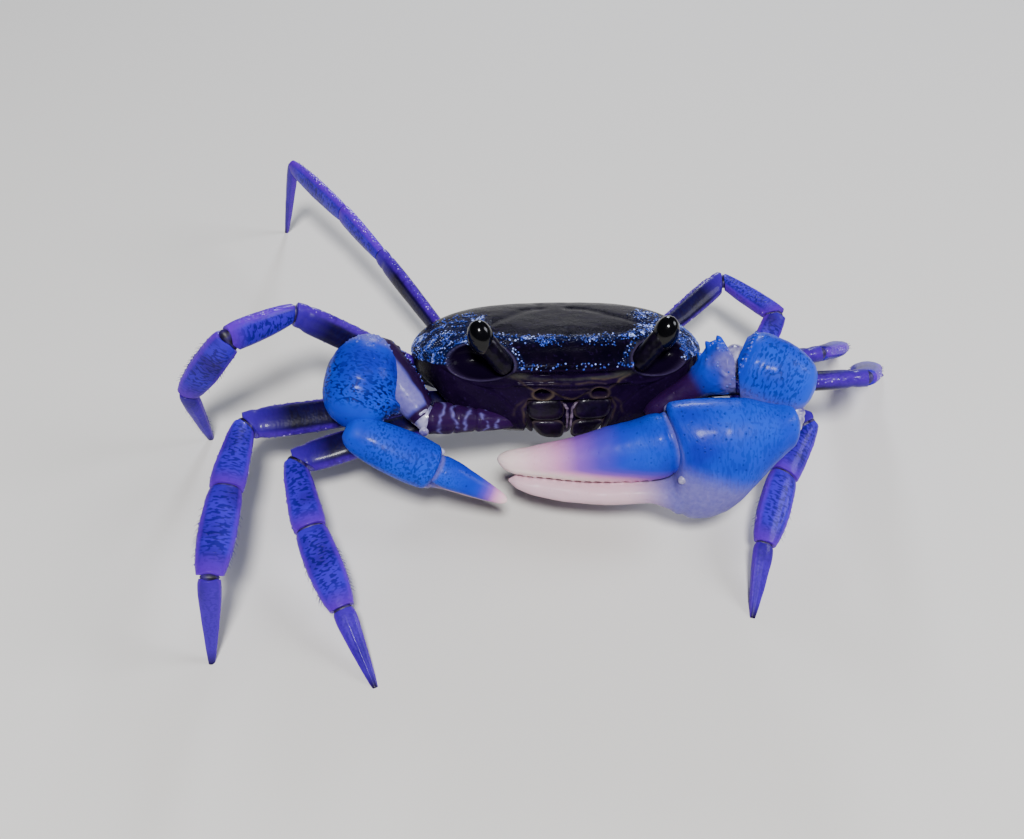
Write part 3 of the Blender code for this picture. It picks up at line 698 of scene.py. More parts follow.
def leg_relief(segment, seed):
    """Keels, seams and lumps for one leg segment, with the marks that its finish reads."""
    def shaping(share, angle, length):
        back, flank = -np.cos(angle), np.abs(np.sin(angle))
        run = share * length
        keel = ease(back, 0.86, 0.99)
        spot = np.stack([run, angle * 1.2, 0 * run + seed * 9.0], -1)
        lumps = grain(spot, 0.32, seed)
        relief = 0.03 * grain(spot, 1.6, seed + 3)
        middle = np.sin(np.clip(share, 0, 1) * math.pi)
        seam = 0 * run
        if segment == "merus":
            seam = hill(run - BASE_LENGTH, 0.16)
            relief += (0.10 + 0.12 * lumps) * keel * middle - 0.16 * seam
            relief -= 0.10 * hill(share - 0.93, 0.02)
            relief += 0.05 * hill(back - 0.55, 0.2) * middle
        elif segment == "dactylus":
            relief += 0.06 * hill(np.cos(angle * 3), 0.35) * middle
        else:
            relief += (0.05 + 0.08 * lumps) * keel * middle
            relief += 0.08 * hill(flank - 0.45, 0.12) * middle - 0.06 * hill(flank - 0.9, 0.1) * middle
        edges = ease(np.abs(back), 0.93, 0.99)
        grained = 0.0 if segment == "dactylus" else 0.5
        hairy = 0.0 if segment in ("merus", "carpus") else 0.8
        marks = {"beaded": np.where(back > 0, edges, 0.35 * edges) * grained * middle,
                 "hairy": edges * hairy * ease(share, 0.15, 0.5) * ease(-share, -0.90, -0.80),
                 "back": ease(np.abs(back), 0.66, 0.98), "share": share, "seam": seam,
                 "spot_mm": np.stack([run, 1.5 * np.cos(angle), 1.0 * np.sin(angle) + seed * 5.0], -1),
                 "flat": ease(flank, 0.45, 0.9) * ease(share, 0.02, 0.12)}
        return relief, marks
    return shaping


def violet_shell(name, deep, blue, violet, tip, dashes):
    """Leg shell: blue on the flats, violet on the keels, with short dark dashes across it. The keel violet is
    partly own colour and partly painted highlight along both edges.
    """
    finish, tree, place = new_finish(name, Roughness=0.42, Specular_IOR_Level=0.12, Coat_Weight=0.10,
                                     Coat_Roughness=0.12)
    mark = read_marks(tree, "back", "share", "seam", "flat")
    spot = node(tree, "Attribute", out="Vector", attribute_name="spot_mm")
    patch = node(tree, "TexNoise", place, 0.23 / MM, Detail=3.0)
    fine = node(tree, "TexNoise", place, 1.8 / MM, Detail=3.0)
    far = node(tree, "MapRange", mark["share"], 0.10, 0.75, 0, 0.45)
    blend = node(tree, "MapRange", patch, 0.36, 0.60)
    blend = node(tree, "Math", blend, far, operation="ADD", use_clamp=True)
    colour = layered(tree, deep, (blend, blue))
    end = node(tree, "MapRange", mark["share"], 0.78, 0.98)
    # Crinkled dark dashes across the flats, about 0.25 mm thick and 0.5 mm long.
    spread = node(tree, "Mapping", Vector=spot, Scale=(4.2, 2.1, 2.1))
    dash = node(tree, "TexNoise", spread, 1.0, Detail=0.6, Roughness=0.4, Distortion=0.25)
    dash = node(tree, "MapRange", dash, 0.50, 0.56, 0, dashes)
    fade = node(tree, "MapRange", mark["share"], 0.70, 0.95, 1.0, 0.15)
    where = node(tree, "Math", mark["flat"], fade, operation="MULTIPLY")
    dash = node(tree, "Math", dash, where, operation="MULTIPLY")
    # Violet along both keels, varied by noise: partly the shell's own colour, partly painted edge highlight.
    keel_violet_with_painted_edge_light = node(tree, "MapRange", fine, 0.35, 0.6, 0.55)
    keel_violet_with_painted_edge_light = node(tree, "Math", mark["back"], keel_violet_with_painted_edge_light, operation="MULTIPLY")
    colour = layered(tree, colour, (end, tip), (dash, "0B0746"), (keel_violet_with_painted_edge_light, violet), (mark["seam"], "07030E"))
    pebbles = node(tree, "TexVoronoi", feature="SMOOTH_F1", Vector=place, Scale=3.6 / MM)
    deep_part = node(tree, "MapRange", mark["back"], 0, 1, 0.25)
    pebbles = node(tree, "Math", pebbles, deep_part, operation="MULTIPLY")
    bump = node(tree, "Bump", 0.8, -0.00010, Height=pebbles)
    bump = node(tree, "Bump", 0.35, -0.00008, Height=dash, Normal=bump)
    lay(tree, Base_Color=colour, Normal=bump)
    return finish


# Hard leg shell, less wet than the back: a faint film over deep pigment, darkest near the body. The
# near-black thighs are partly their own deep colour and partly painted shade from the shell and claws above
# them.
thigh_finish_with_painted_shade = violet_shell("indigo_violet_thigh_shell_with_painted_shade", "03020A", "0E0232", "4404A0", "38089A", 0.3)
shin_finish = violet_shell("blue_violet_shin_shell", "26046C", "3408BC", "5C04BC", "5004AC", 0.65)
toe_finish = violet_shell("violet_toe_shell", "2C0480", "3C06A4", "5008B0", "140430", 0.25)
# Soft skin bridges each joint: dark and matt, folded where the leg bends.
skin_finish = blotched("soft_joint_skin", 1.4, ((0.35, "0C0618"), (0.7, "34206A")),
                       pits=(None, 0, 0.4, 0.0001), Roughness=0.5)


def tube(name, middle, depth, thin, swell, half_depth, half_thin, columns, finish, slot):
    """A soft tube round a path, with its two axes across and its swelling at each station."""
    angle = turns(columns)[..., None]
    grid = middle[:, None, :] + swell[:, None, None] * (half_depth * np.cos(angle) * depth[:, None, :]
                                                        + half_thin * np.sin(angle) * thin[:, None, :])
    dress(skin(name, grid), finish, slot)


def joint_skin(name, joint, before, after, half_depth, half_thin, hinge):
    """A soft sleeve round one joint, running a little way inside the shells on both sides."""
    t = np.linspace(-1, 1, 26)
    middle = joint + (np.where(t < 0, t, 0)[:, None] * before + np.where(t > 0, t, 0)[:, None] * after)
    middle = middle + 0.22 * (after - before) * hill(t, 0.5)[:, None]
    turned = ease(t, -0.6, 0.6)[:, None]
    way = unit(before * (1 - turned) + after * turned)
    thin = unit(hinge - (way @ hinge)[:, None] * way)
    tube(name, middle, np.cross(thin, way), thin, 0.82 + 0.10 * np.cos(t * 9.0), half_depth, half_thin, 40,
         skin_finish, "leg_shell")


grain_beds, hair_beds = [], []
# Each segment's finish and rings, and the half-widths of the soft skin before it.
LEG_DRESS = ((thigh_finish_with_painted_shade, 130, 0, 0), (shin_finish, 90, 1.12, 0.85), (shin_finish, 90, 1.4, 0.85),
             (toe_finish, 90, 0.92, 0.62))
for letter, sign in (("L", 1), ("R", -1)):
    for number in (2, 3, 4, 5):
        stout = LEG_STOUTNESS[number]
        aims = [heading(sign, *angles) for angles in LEG_POSE[letter, number]]
        joints = [stood((sign * LEG_ROOTS[number][0], *LEG_ROOTS[number][1:]))]
        for k, length in enumerate(LEG_LENGTHS[number]):
            joints.append(joints[-1] + aims[k] * (length + (BASE_LENGTH if k == 0 else 0)))
        joints.append(joints[-1] + aims[3] * (joints[-1][2] / -aims[3][2] + 0.45))
        hinge = unit(np.cross(aims[0], unit(joints[4] - joints[1])))
        if (letter, number) == ("R", 5):
            hinge = unit(np.cross(aims[0], (0, 0, -1)))
        for k, (segment, keys) in enumerate(SEGMENTS.items()):
            finish, rows, skin_depth, skin_thin = LEG_DRESS[k]
            start = joints[0] + aims[0] * 0.35 if k == 0 else joints[k]
            before, after = (aims[k - 1] if k else None), (aims[k + 1] if k < 3 else None)
            grid, marks = limb(start, joints[k + 1], before, after, keys, stout, hinge, rows, 96,
                               leg_relief(segment, number + 5 * k + (20 if sign > 0 else 0)))
            if segment == "dactylus":
                grid[..., 2] = np.maximum(grid[..., 2], 0.0)
            piece = skin("leg%d_%s_shell_%s" % (number, segment, letter), grid, marks)
            dress(piece, finish, "leg_shell", "leg%d_%s_%s" % (number, segment, letter))
            if k < 3:
                grain_beds.append((piece, {"Mark": "beaded", "Spacing": 0.00026, "Radius": 0.00010}))
            if k > 1:
                hair_beds.append((piece, {"Mark": "hairy", "Spacing": 0.00030, "Radius": 0.000028,
                                          "Length": 0.00052, "Lean": tuple(1.3 * aims[k])}))
            if k:
                joint_skin("leg%d_joint%d_%s" % (number, k, letter), joints[k], aims[k - 1], aims[k],
                           skin_depth * stout, skin_thin * stout, hinge)
        share = np.linspace(0, 1, 30)
        deep, wide = flow(((0, 1.2, 1.1), (0.4, 1.45, 1.3), (0.8, 1.2, 1.1), (1, 0.75, 0.7)), share) * stout
        grid, _, _ = rings(joints[0] - aims[0] * 2.6, joints[0] + aims[0] * 0.9, share, deep, wide, 0 * share,
                           np.cross(hinge, aims[0]), 48)
        dress(skin("leg%d_base_%s" % (number, letter), grid), under_finish, "underside")

# Pale lilac grains sit along the keels and catch the light as points. Stiff short bristles of dull
# violet horn stand along the shins and toes and soften their edges.
pale_grain_finish = blotched("pale_lilac_keel_grain", 1.3, ((0.42, "3C0CA8"), (0.62, "A88CE0")), 2.0,
                             Roughness=0.25, Coat_Weight=0.3)
grow("leg_keel_grains", grain_tree, grain_beds, pale_grain_finish, "leg_shell")
bristle_finish = blotched("horny_violet_bristle", 2.6, ((0, "12063C"), (1, "4A2CA0")), 2.0, Roughness=0.45)
bristle_tree = growth_tree("standing_bristles", leaning=True)
grow("leg_bristles", bristle_tree, hair_beds, bristle_finish, "leg_shell")

# ----------------------------------------------------------
# The two claws with their arms: the large left one laid across in front, the small right one folded.
# Thick smooth shell, brighter blue than the rest, paling to lilac below and to white at the
# finger tips; the moving finger swings on two pale knobs.
# ----------------------------------------------------------
# Half-widths of the arms and wrists along their length, as for the leg segments.
ARM_L = ((0, 0.4, 0.4), (0.05, 0.9, 0.8), (0.12, 1.1, 1.1), (0.35, 1.25, 1.25), (0.6, 1.6, 1.6),
         (0.78, 2.4, 2.1), (0.92, 2.8, 2.4), (1, 2.5, 2.1))
ARM_R = ((-0.5, 0.1, 0.1), (-0.48, 0.4, 0.35), (-0.4, 0.65, 0.6), (-0.2, 0.95, 0.9), (0, 1.1, 1.0),
         (0.1, 1.2, 1.1), (0.35, 1.3, 1.2), (0.7, 1.6, 1.5), (0.92, 1.6, 1.5), (1, 1.4, 1.3))
UPPER_ARM_R = ((0, 1.25, 1.2), (0.12, 1.5, 1.45), (0.4, 1.85, 1.75), (0.75, 2.0, 1.8), (0.92, 1.8, 1.6),
               (1, 1.3, 1.2))
WRIST_L = ((0, 2.7, 2.7), (0.08, 3.3, 3.3), (0.22, 3.8, 3.65), (0.5, 3.9, 3.7), (0.78, 3.5, 3.35),
           (0.95, 2.9, 2.7), (1.06, 2.0, 1.9), (1.11, 0.8, 0.8))
WRIST_R = ((-0.13, 0.2, 0.2), (-0.10, 1.0, 0.95), (-0.02, 1.9, 1.8), (0.1, 2.7, 2.5), (0.25, 3.35, 3.1),
           (0.48, 3.75, 3.45), (0.72, 3.55, 3.3), (0.9, 3.0, 2.75), (1.03, 2.1, 1.95), (1.1, 1.1, 1.05),
           (1.13, 0.3, 0.3))


def beads(run, pitch, sharpness=1.0):
    """A row of rounded beads with smooth gaps between them."""
    return np.clip(np.sin(run * math.tau / pitch), 0, 1) ** sharpness


def claw_relief(kind, seed):
    """Keels, bead rows and pale parts for one arm or wrist, with the marks that its finish reads."""
    def shaping(share, angle, length):
        run = share * length
        spot = np.stack([run, 2.4 * np.cos(angle), 2.4 * np.sin(angle) + seed * 9.0], -1)
        middle = np.sin(np.clip(share, 0, 1) * math.pi)
        relief = 0.06 * grain(spot, 2.2, seed) + 0.035 * grain(spot, 0.7, seed + 1)
        back, below = -np.cos(angle), np.cos(angle)
        keel = ease(back, 0.90, 0.995)
        beaded = 0.6 * keel * middle
        pale, violet, tips, scaly = 0 * run, 0 * run, 0 * run, 0
        if kind == "big arm":
            relief += keel * ease(share, 0.5, 0.8) * (0.15 + 0.42 * beads(run + 0.4, 1.3))
            relief += 0.24 * np.clip(grain(spot, 0.55, seed + 4), 0, 1) * ease(share, 0.6, 0.8)
            ragged = share + 0.10 * grain(spot, 1.6, seed + 6)
            pale = 0.9 * ease(ragged, 0.68, 0.86) * ease(np.cos(angle + 0.3), -0.7, 0.1)
            violet = 1 - ease(share, 0.52, 0.74)
            beaded = 0.3 * ease(share, 0.6, 0.85) * ease(grain(spot, 0.9, seed + 8), -0.1, 0.3)
        elif kind == "small arm":
            relief += keel * middle * (0.10 + 0.25 * beads(run, 0.9))
            ragged = back + 0.15 * grain(spot, 1.2, seed + 5)
            pale = np.clip(ease(share, 0.06, 0.14) * (1 - ease(ragged, 0.15, 0.45)), 0, 1)
            violet = 1 - pale
        elif kind == "base":
            relief -= 0.16 * (hill(run - 0.55 * length, 0.2) + hill(run - 0.2 * length, 0.2))
            frills = 0
            for at, waves in ((0.78, 2), (0.58, 3), (0.36, 2), (0.08, 3), (-0.15, 2)):
                line = run - (at + 0.05 * np.sin(waves * angle)) * length
                frills = frills + hill(line + 0.3 * grain(spot, 0.8, seed + waves), 0.17)
            pale = np.clip(0.75 * frills * ease(grain(spot, 0.9, seed + 5), -0.35, 0.2), 0, 1)
            violet = 1 + 0 * run
        elif kind == "big wrist":
            row = hill(share - 0.075, 0.03)
            tips = row * beads(angle * 3.4, 0.62)
            relief += row * (0.06 + 0.26 * beads(angle * 3.4, 0.62))
            relief += 0.03 * ease(-share, -0.75, -0.2) * grain(spot * (1.0, 0.5, 0.5), 0.3, seed + 2)
            pale = 0.8 * ease(below, 0.3, 0.85)
            beaded = hill(share - 0.075, 0.02)
            scaly = 0.55
        else:
            row = ease(np.cos(angle + 0.18), 0.93, 0.999) * middle
            relief += row * (0.06 + 0.38 * beads(run, 0.8))
            relief += 0.8 * hill(np.hypot((share - 0.72) * length / 0.42, (below - 1) * 9), 1.0)
            relief += 0.03 * 0.6 * grain(spot * (1.0, 0.5, 0.5), 0.3, seed + 2)
            pale = np.maximum(0.55 * ease(-share, -0.12, -0.02), 0.6 * row * beads(run, 0.8))
            beaded = 0.5 * ease(-share, -0.16, -0.06) + ease(np.cos(angle + 0.18), 0.97, 0.995) * middle
            scaly = 1
        around = np.stack([run, 3.0 * np.cos(angle), 3.0 * np.sin(angle) + seed * 9.0], -1)
        return relief, {"beaded": np.clip(np.where(beaded < 0.1, 0, beaded), 0, 1), "pale": pale,
                        "spot_mm": around, "violet": violet, "bead": tips,
                        "scaly": scaly * ease(share, 0.1, 0.3) * ease(-share, -1.0, -0.85)}
    return shaping


# Living claw shell is smooth and a little waxy: a clear film over bright pigment, with fine dark
# dashes and pits where the surface is scaled, and no pigment at the worn finger tips.
claw_finish, tree, place = new_finish("azure_claw_shell", Roughness=0.44, Specular_IOR_Level=0.10,
                                      Coat_Weight=0.06, Coat_Roughness=0.15, Subsurface_Weight=0.05,
                                      Subsurface_Scale=0.0006)
mark = read_marks(tree, "pale", "tipward", "violet", "pink", "bead", "scaly")
spot_mm = node(tree, "Attribute", out="Vector", attribute_name="spot_mm")
patch = node(tree, "TexNoise", place, 0.15 / MM, Detail=3.0, Roughness=0.5)
fine = node(tree, "TexNoise", place, 2.4 / MM, Detail=3.0)
colour = node(tree, "ValToRGB", patch, stops=((0.33, "041CA8"), (0.66, "0640D0")))
# Crinkled dark dashes about 0.2 mm thick, running across the scaled parts.
spread = node(tree, "Mapping", Vector=spot_mm, Scale=(4.8, 2.6, 2.6))
dash = node(tree, "TexNoise", spread, 1.0, Detail=0.6, Roughness=0.4, Distortion=0.3)
dash = node(tree, "MapRange", dash, 0.52, 0.59)
gate = node(tree, "MapRange", patch, 0.36, 0.54, 0.45)
gate = node(tree, "Math", gate, mark["scaly"], operation="MULTIPLY")
dash = node(tree, "Math", dash, gate, operation="MULTIPLY")
pit = node(tree, "TexVoronoi", place, Scale=1.5 / MM, Randomness=1.0)
pit = node(tree, "MapRange", pit, 0.05, 0.20, 0.75, 0.0)
purple = layered(tree, "0C0316", (patch, "300C4C"))
milk = layered(tree, "544C9C", (fine, "7C76B4"))
ends = node(tree, "ValToRGB", mark["tipward"],
            stops=((0, "0A38C0"), (0.20, "2230BC"), (0.38, "4C38B8"), (0.56, "8450B8"), (0.73, "CC8CBC"),
                   (0.88, "E4B4C8"), (1, "EED6D4")))
waver = node(tree, "MapRange", mark["tipward"], 0.03, 0.3)
bead_part = node(tree, "Math", mark["bead"], 0.8, operation="MULTIPLY")
colour = layered(tree, colour, (dash, "06065A"), (pit, "080A5A"), (mark["violet"], purple),
                 (mark["pale"], milk), (waver, ends), (mark["pink"], "D8B4C0"), (bead_part, "241C66"))
bump = node(tree, "Bump", 0.25, 0.00006, Height=fine)
bump = node(tree, "Bump", 0.5, -0.00010, Height=dash, Normal=bump)
bump = node(tree, "Bump", 0.5, -0.00008, Height=pit, Normal=bump)
lay(tree, Base_Color=colour, Normal=bump)


root_l = stood((7.6, -6.8, -4.9)) + (0.6, -0.3, 0.4)
arm_l = [root_l, *np.array(((16.9, -7.3, 16.5), (23.2, -11.0, 15.5), (15.0, -15.0, 11.0)))]
root_r = stood((-7.6, -6.8, -4.9)) + (-0.6, -0.3, 0.4)
arm_r = [root_r, *np.array(((-14.6, -9.3, 12.0), (-19.4, -2.8, 16.0), (-21.7, -9.5, 12.5),
                            (-13.5, -14.4, 9.0)))]


def arm_tube(name, joints, keys, kind, seed, *solids):
    """joints: the one before (or None), start, end and the one after."""
    before = unit(joints[1] - joints[0]) if joints[0] is not None else None
    along, after = unit(joints[2] - joints[1]), unit(joints[3] - joints[2])
    hinge = unit(np.cross(before, along) if "wrist" in kind else np.cross(along, after))
    if kind == "small wrist":
        before = None
    if kind in ("big wrist", "small wrist", "small arm"):
        after = None
    grid, marks = limb(joints[1], joints[2], before, after, keys, 1.0, hinge, 120, 144,
                       claw_relief(kind, seed), 2.1)
    return dress(skin(name, grid, marks), claw_finish, "claw_shell", *solids)


arm_tube("claw_arm_shell_R", [None, *arm_r[:3]], ARM_R, "base", 43, "claw_arm_R")
grain_beds = [
    arm_tube("claw_arm_shell_L", [None, *arm_l[:3]], ARM_L, "big arm", 41, "claw_arm_L"),
    arm_tube("claw_wrist_shell_L", arm_l, WRIST_L, "big wrist", 42, "claw_wrist_L"),
    arm_tube("claw_wrist_shell_R", arm_r[1:], WRIST_R, "small wrist", 45, "claw_wrist_R"),
    arm_tube("claw_upper_arm_shell_R", arm_r[:4], UPPER_ARM_R, "small arm", 44, "claw_upper_arm_R")]

# Blunt grains of the same shell roughen the arms and edge the wrists. A little paler than the
# shell, they give the eye small soft points.
claw_grain_finish = blotched("pale_blue_claw_grain", 0.7, ((0.40, "1A38B8"), (0.60, "6068C4")), 2.0,
                             Roughness=0.32, Coat_Weight=0.2)
grow("claw_grains", grain_tree, [(bed, {"Mark": "beaded", "Spacing": 0.00030, "Radius": 0.00013})
                                 for bed in grain_beds],
     claw_grain_finish, "claw_shell")


def hand_part(name, hand, keys, hinge_at, kind, size, seed, *solids):
    """The hand with its fixed finger, or the moving finger: rings across with shifts up and down."""
    start, tip, up = hand
    low, high = keys[0][0], keys[-1][0]
    span = np.linspace(0, 1, 240)
    share = low + (high - low) * (span - 0.03 * np.sin(span * math.tau))
    grid, angle, outward = rings(start, tip, share, *flow(keys, share), up, 136, 2.15)
    share = share[:, None] + 0 * angle
    length = np.linalg.norm(tip - start)
    run = share * length
    spot = np.stack([run, 3.0 * np.cos(angle) + 0 * run, 3.0 * np.sin(angle) + seed * 9.0 + 0 * run], -1)
    palm, big = kind == "palm", size > 0.8
    relief = size * (0.07 * grain(spot, 2.6, seed) + 0.025 * grain(spot, 0.8, seed + 1))
    bite = np.cos(angle) if palm else -np.cos(angle)
    fingerward = ease(share, 0.45, 0.5) * ease(high - share, 0.0, 0.08)
    tooth = hill(run - (0.60 if palm else 0.55) * length, 0.6 * size)
    teeth = 0.12 * beads(run, 0.95 * size, 0.7) + 0.12 * tooth
    relief += ease(bite, 0.86, 0.99) * fingerward * size * teeth
    if not palm:
        relief -= size * 0.10 * hill(share - (low + 0.035), 0.008)
    grid = grid + outward * relief[..., None]
    # The joint line of the moving finger curves forward at its upper end, on both parts.
    along = unit(tip - start)
    lift = (grid - start) @ unit(up - np.dot(up, along) * along)
    near_joint = ease(share, hinge_at - 0.16, hinge_at) * (1 - ease(share, hinge_at + 0.03, hinge_at + 0.2))
    if palm:
        near_joint = near_joint * ease(lift, -2.5 * size, 0.0)
    forward = 1.5 * size * near_joint * np.clip((lift - 0.3) / (4.8 * size), 0, 1.2) ** 1.6
    grid = grid + along * forward[..., None]
    pink, tipward = 0 * run, 0 * run
    if palm:
        pale = np.clip(0.95 * ease(12 * (share - 0.3) - lift, 0.2, 3.2), 0, 1) if big else 0 * run
        pale = np.maximum(pale, ease(share, hinge_at - 0.02, hinge_at + 0.08))
        pink = 0.95 * ease(share, hinge_at + 0.02, hinge_at + 0.2)
        pale = np.maximum(pale, 0.35 * hill(share - hinge_at, 0.006 / size) * ease(np.cos(angle), -0.5, 0.3))
    else:
        pale = 0.7 * hill(share - (low + 0.012), 0.012)
        reach = (share - low) / (high - low)
        tipward = ease(reach, 0.40, 1.06)
        if big:
            tipward = ease(reach + 0.42 * ease(-np.cos(angle), 0.05, 0.95), 0.05, 1.0)
    scaly = ease(share, -0.02, 0.1) * (1 - ease(share, hinge_at - 0.1, hinge_at + 0.3))
    scaly *= 0.26 if big else 0.5
    marks = {"pale": pale, "tipward": tipward, "spot_mm": spot, "pink": pink, "scaly": scaly}
    dress(skin(name, grid, marks), claw_finish, "claw_shell", *solids)


# Half-widths along each hand, as for the arms, with how far each ring stands up from its line.
PALM_L = ((-0.014, 0.5, 0.5, 1.95), (-0.006, 1.3, 1.25, 1.9), (0.006, 1.9, 1.7, 1.85), (0.03, 2.3, 2.15, 1.7),
          (0.06, 2.75, 2.6, 1.4), (0.10, 3.5, 3.05, 0.95), (0.15, 4.5, 3.5, 0.4), (0.2, 5.35, 3.75, -0.3),
          (0.25, 5.9, 3.85, -0.7), (0.31, 6.15, 3.9, -0.85), (0.36, 6.05, 3.7, -0.85),
          (0.384, 5.5, 3.4, -1.0), (0.40, 3.2, 2.9, -3.2), (0.415, 2.0, 2.7, -4.15), (0.44, 1.55, 2.4, -4.05),
          (0.5, 1.2, 2.05, -3.75), (0.63, 1.2, 1.85, -3.7), (0.765, 1.12, 1.5, -3.25),
          (0.88, 0.95, 1.15, -2.5), (0.94, 0.65, 0.8, -1.95), (0.968, 0.1, 0.12, -1.7))
FINGER_L = ((0.376, 1.4, 1.4, 1.2), (0.382, 2.6, 2.3, 1.2), (0.395, 3.1, 2.7, 1.1), (0.45, 3.2, 2.95, 0.8),
            (0.5, 3.1, 2.9, 0.6), (0.615, 2.75, 2.7, 0.36), (0.75, 2.1, 2.2, 0.1), (0.885, 1.45, 1.65, 0.15),
            (0.95, 1.15, 1.3, 0.3), (0.98, 0.8, 0.9, 0.45), (0.995, 0.4, 0.45, 0.6), (1.0, 0.1, 0.1, 0.65))
PALM_R = ((-0.09, 0.7, 0.8, 0.1), (-0.06, 1.3, 1.4, 0.1), (0.0, 1.7, 1.85, 0), (0.1, 2.0, 2.15, 0),
          (0.2, 2.1, 2.35, 0), (0.35, 2.15, 2.45, 0), (0.47, 2.0, 2.3, -0.05), (0.5, 1.7, 2.05, -0.3),
          (0.54, 0.8, 1.6, -1.15), (0.65, 0.7, 1.2, -1.2), (0.85, 0.5, 0.75, -0.9), (0.95, 0.3, 0.4, -0.7),
          (0.975, 0.08, 0.1, -0.65))
FINGER_R = ((0.49, 0.6, 0.9, 0.8), (0.5, 0.95, 1.3, 0.85), (0.53, 1.15, 1.5, 0.85), (0.6, 1.2, 1.48, 0.8),
            (0.75, 0.95, 1.15, 0.55), (0.9, 0.62, 0.75, 0.3), (0.96, 0.48, 0.55, 0.2),
            (0.99, 0.25, 0.3, 0.12), (1.0, 0.06, 0.08, 0.1))
# Each hand: where it starts, where its finger ends, and which way is up.
HAND_L = np.array(((21.6, -15.4, 12.6), (-7.4, -12.4, 8.0), (0.0, 0.42, 0.9)))
HAND_R = np.array(((-21.05, -11.25, 11.85), (-6.75, -15.6, 6.15), (0.13, -0.58, 0.8)))
for letter, hand, palm, finger, hinge_at, size, seed in (("L", HAND_L, PALM_L, FINGER_L, 0.385, 1.0, 51),
                                                         ("R", HAND_R, PALM_R, FINGER_R, 0.5, 0.6, 55)):
    hand_part("claw_hand_shell_" + letter, hand, palm, hinge_at, "palm", size, seed, "claw_palm_" + letter)
    hand_part("claw_finger_shell_" + letter, hand, finger, hinge_at, "finger", size, seed + 2,
              "claw_finger_" + letter)

# Pale waxy skin and hinge knobs show between the hard parts of the claws, lilac-grey among the blue.
knob_finish = blotched("pale_waxy_hinge_skin", 1.1, ((0.35, "4A3E84"), (0.62, "A8A4C4")),
                       pits=(None, 0, 0.4, 0.0001), Roughness=0.35, Coat_Weight=0.3)


def soft_link(name, points, half_depth, half_thin):
    """A soft tube through points, closed at both ends."""
    points, rows = np.array(points, float), np.linspace(0, 1, 40)
    path = flow(np.concatenate([np.linspace(0, 1, len(points))[:, None], points], 1), rows).T
    way = unit(np.gradient(path, axis=0))
    depth = unit(np.cross(way, (0.3, 0.2, 0.93)))
    swell = np.sqrt(np.clip(1 - np.linspace(-0.995, 0.995, 40) ** 8, 0, 1)) * (1 + 0.05 * np.sin(30 * rows))
    tube(name, path, depth, np.cross(way, depth), swell, half_depth, half_thin, 40, knob_finish, "claw_shell")


def knob(name, where, size):
    """A lumpy round knob of hinge skin."""
    level = -np.cos(np.linspace(0.12, math.pi - 0.12, 22))
    width = size * np.sqrt(1 - level ** 2)
    grid, _, outward = rings(where - (0, 0, size), where + (0, 0, size), (level + 1) / 2, width, 0.85 * width,
                             0 * level, (1, 0, 0), 28)
    knobbly = grid + outward * (0.08 * size * grain(grid, size, 9))[..., None]
    dress(skin(name, knobbly), knob_finish, "claw_shell")


def on_hand(hand, share, shift, aside):
    """A point by the hand: its share of the length, how far up, and how far to the side."""
    start, tip, up = hand
    along = unit(tip - start)
    up = unit(up - np.dot(up, along) * along)
    return start + share * (tip - start) + shift * up + aside * np.cross(along, up)


for name, (before, joint, after), reach, *halves in (("claw_elbow_skin_L", arm_l[:3], 1.3, 1.6, 1.7),
                                                     ("claw_arm_skin_R", arm_r[:3], 1.2, 1.15, 1.25)):
    ends = joint - unit(joint - before) * reach, joint + unit(after - joint) * reach
    soft_link(name, [ends[0], joint, ends[1]], *halves)
soft_link("claw_wrist_skin_L", [(22.2, -12.0, 14.6), (21.8, -13.4, 14.0), (20.6, -15.0, 13.5)], 0.9, 0.9)
soft_link("claw_wrist_skin_R", [arm_r[3] - unit(arm_r[3] - arm_r[2]), (-20.9, -10.0, 12.5),
                                (-19.9, -11.6, 11.6)], 0.8, 0.8)
knob("claw_elbow_knob_R", arm_r[1] + (-0.1, -1.35, -0.6), 0.5)
for name, hand, share, shift, aside, size in (("hinge_knob_L_front", HAND_L, 0.388, -1.75, 3.0, 0.5),
                                              ("hinge_knob_L_back", HAND_L, 0.388, -1.75, -3.0, 0.5),
                                              ("hinge_crown_L", HAND_L, 0.408, 4.2, 1.2, 0.6),
                                              ("hinge_knob_R_high", HAND_R, 0.5, 0.2, 1.75, 0.42),
                                              ("hinge_knob_R_low", HAND_R, 0.5, 0.2, -1.75, 0.42)):
    knob("claw_" + name, on_hand(hand, share, shift, aside), size)

# ----------------------------------------------------------
# The studio: a plain pale floor, soft lamps above, and the camera close in front and to the
# crab's right, looking down.
# ----------------------------------------------------------
floor_mesh = bpy.data.meshes.new("studio_floor")
FLOOR_HALF = 1.5
corners = [(x * FLOOR_HALF, y * FLOOR_HALF, 0) for x, y in ((-1, -1), (1, -1), (1, 1), (-1, 1))]
floor_mesh.from_pydata(corners, [], [(0, 1, 2, 3)])
# Matt pale paper: it takes the crab's soft shadow and gives the eye no shine of its own.
floor_mesh.materials.append(new_finish("matt_pale_paper", Base_Color="DEDBD6", Roughness=0.85)[0])
placed("studio_floor", floor_mesh)


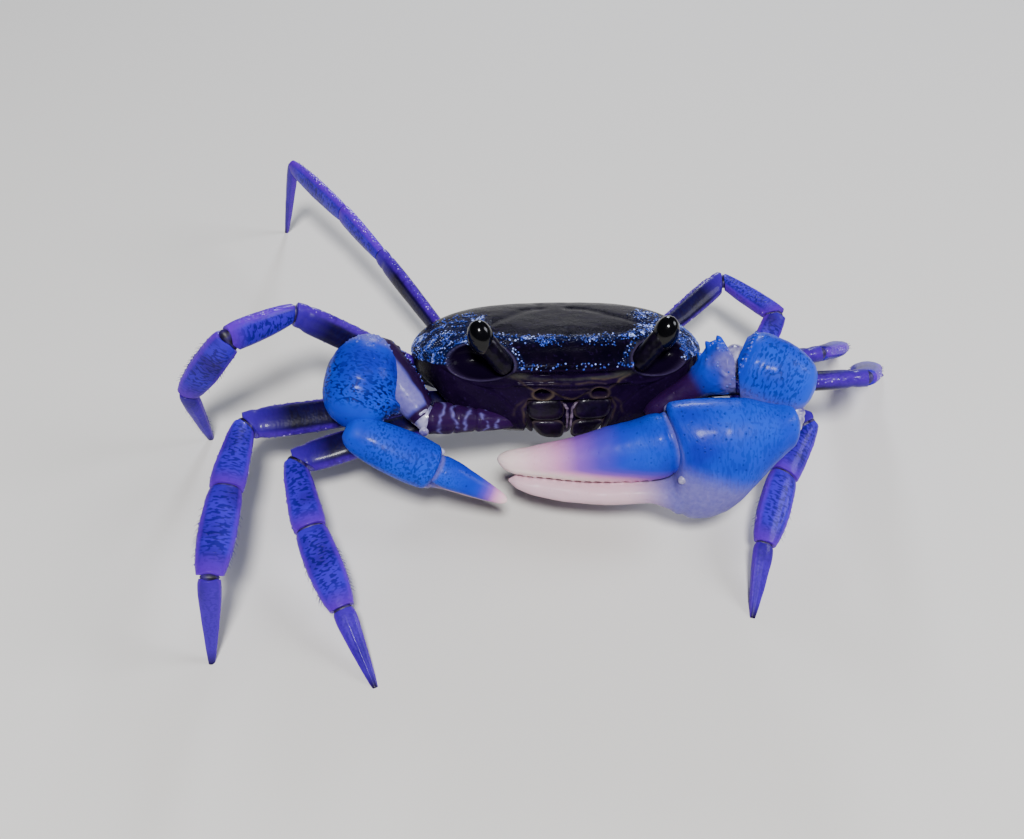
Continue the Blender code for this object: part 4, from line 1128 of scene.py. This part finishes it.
def soft_lamp(name, where, size, power, code):
    """A round soft lamp turned to the middle of the crab."""
    data = bpy.data.lights.new(name, "AREA")
    data.shape, data.size, data.energy, data.color = "DISK", size, power, linear(code)[:3]
    lamp = placed(name, data)
    lamp.location = where
    lamp.rotation_euler = (Vector((0, 0, 0.01)) - Vector(where)).to_track_quat("-Z", "Y").to_euler()


soft_lamp("key_lamp", (-0.05, -0.27, 0.40), 0.09, 3.1, "FFFFFF")
soft_lamp("side_lamp", (0.36, -0.02, 0.26), 0.20, 1.1, "F4F6FF")
soft_lamp("back_lamp", (0.06, 0.42, 0.20), 0.10, 1.2, "E8F0FF")
world = bpy.data.worlds.new("studio_air")
world.use_nodes = True
world.node_tree.nodes["Background"].inputs["Color"].default_value = linear("B8BEC8")
world.node_tree.nodes["Background"].inputs["Strength"].default_value = 0.11
bpy.context.scene.world = world

# How far the camera looks down, is swung to the crab's right and is tilted; then its distance from
# the middle of the view in mm, and where that middle lies.
LOOK_DOWN, SWING, ROLL = math.radians(44), math.radians(-10), math.radians(5)
CAMERA_DISTANCE = 115.0
VIEW_HEIGHT, VIEW_LEFT, VIEW_DOWN = 12, 4.76, 7.17
back_way = Vector((math.sin(SWING) * math.cos(LOOK_DOWN), -math.cos(SWING) * math.cos(LOOK_DOWN),
                   math.sin(LOOK_DOWN)))
level_right = (-back_way).cross(Vector((0, 0, 1))).normalized()
level_up = level_right.cross(-back_way)
right_way = level_right * math.cos(ROLL) + level_up * math.sin(ROLL)
up_way = -level_right * math.sin(ROLL) + level_up * math.cos(ROLL)
middle = Vector((0, 0, VIEW_HEIGHT)) - right_way * VIEW_LEFT - up_way * VIEW_DOWN
eye_point = middle + back_way * CAMERA_DISTANCE + Vector(PLACE)
camera = placed("camera", bpy.data.cameras.new("camera"))
turned = Matrix((right_way, up_way, back_way)).transposed().to_4x4()
camera.matrix_world = Matrix.Translation(eye_point * MM) @ turned
camera.data.sensor_width = 36.0
camera.data.sensor_fit = "HORIZONTAL"
camera.data.lens = 37.8984375
camera.data.clip_start = 0.001
bpy.context.scene.camera = camera
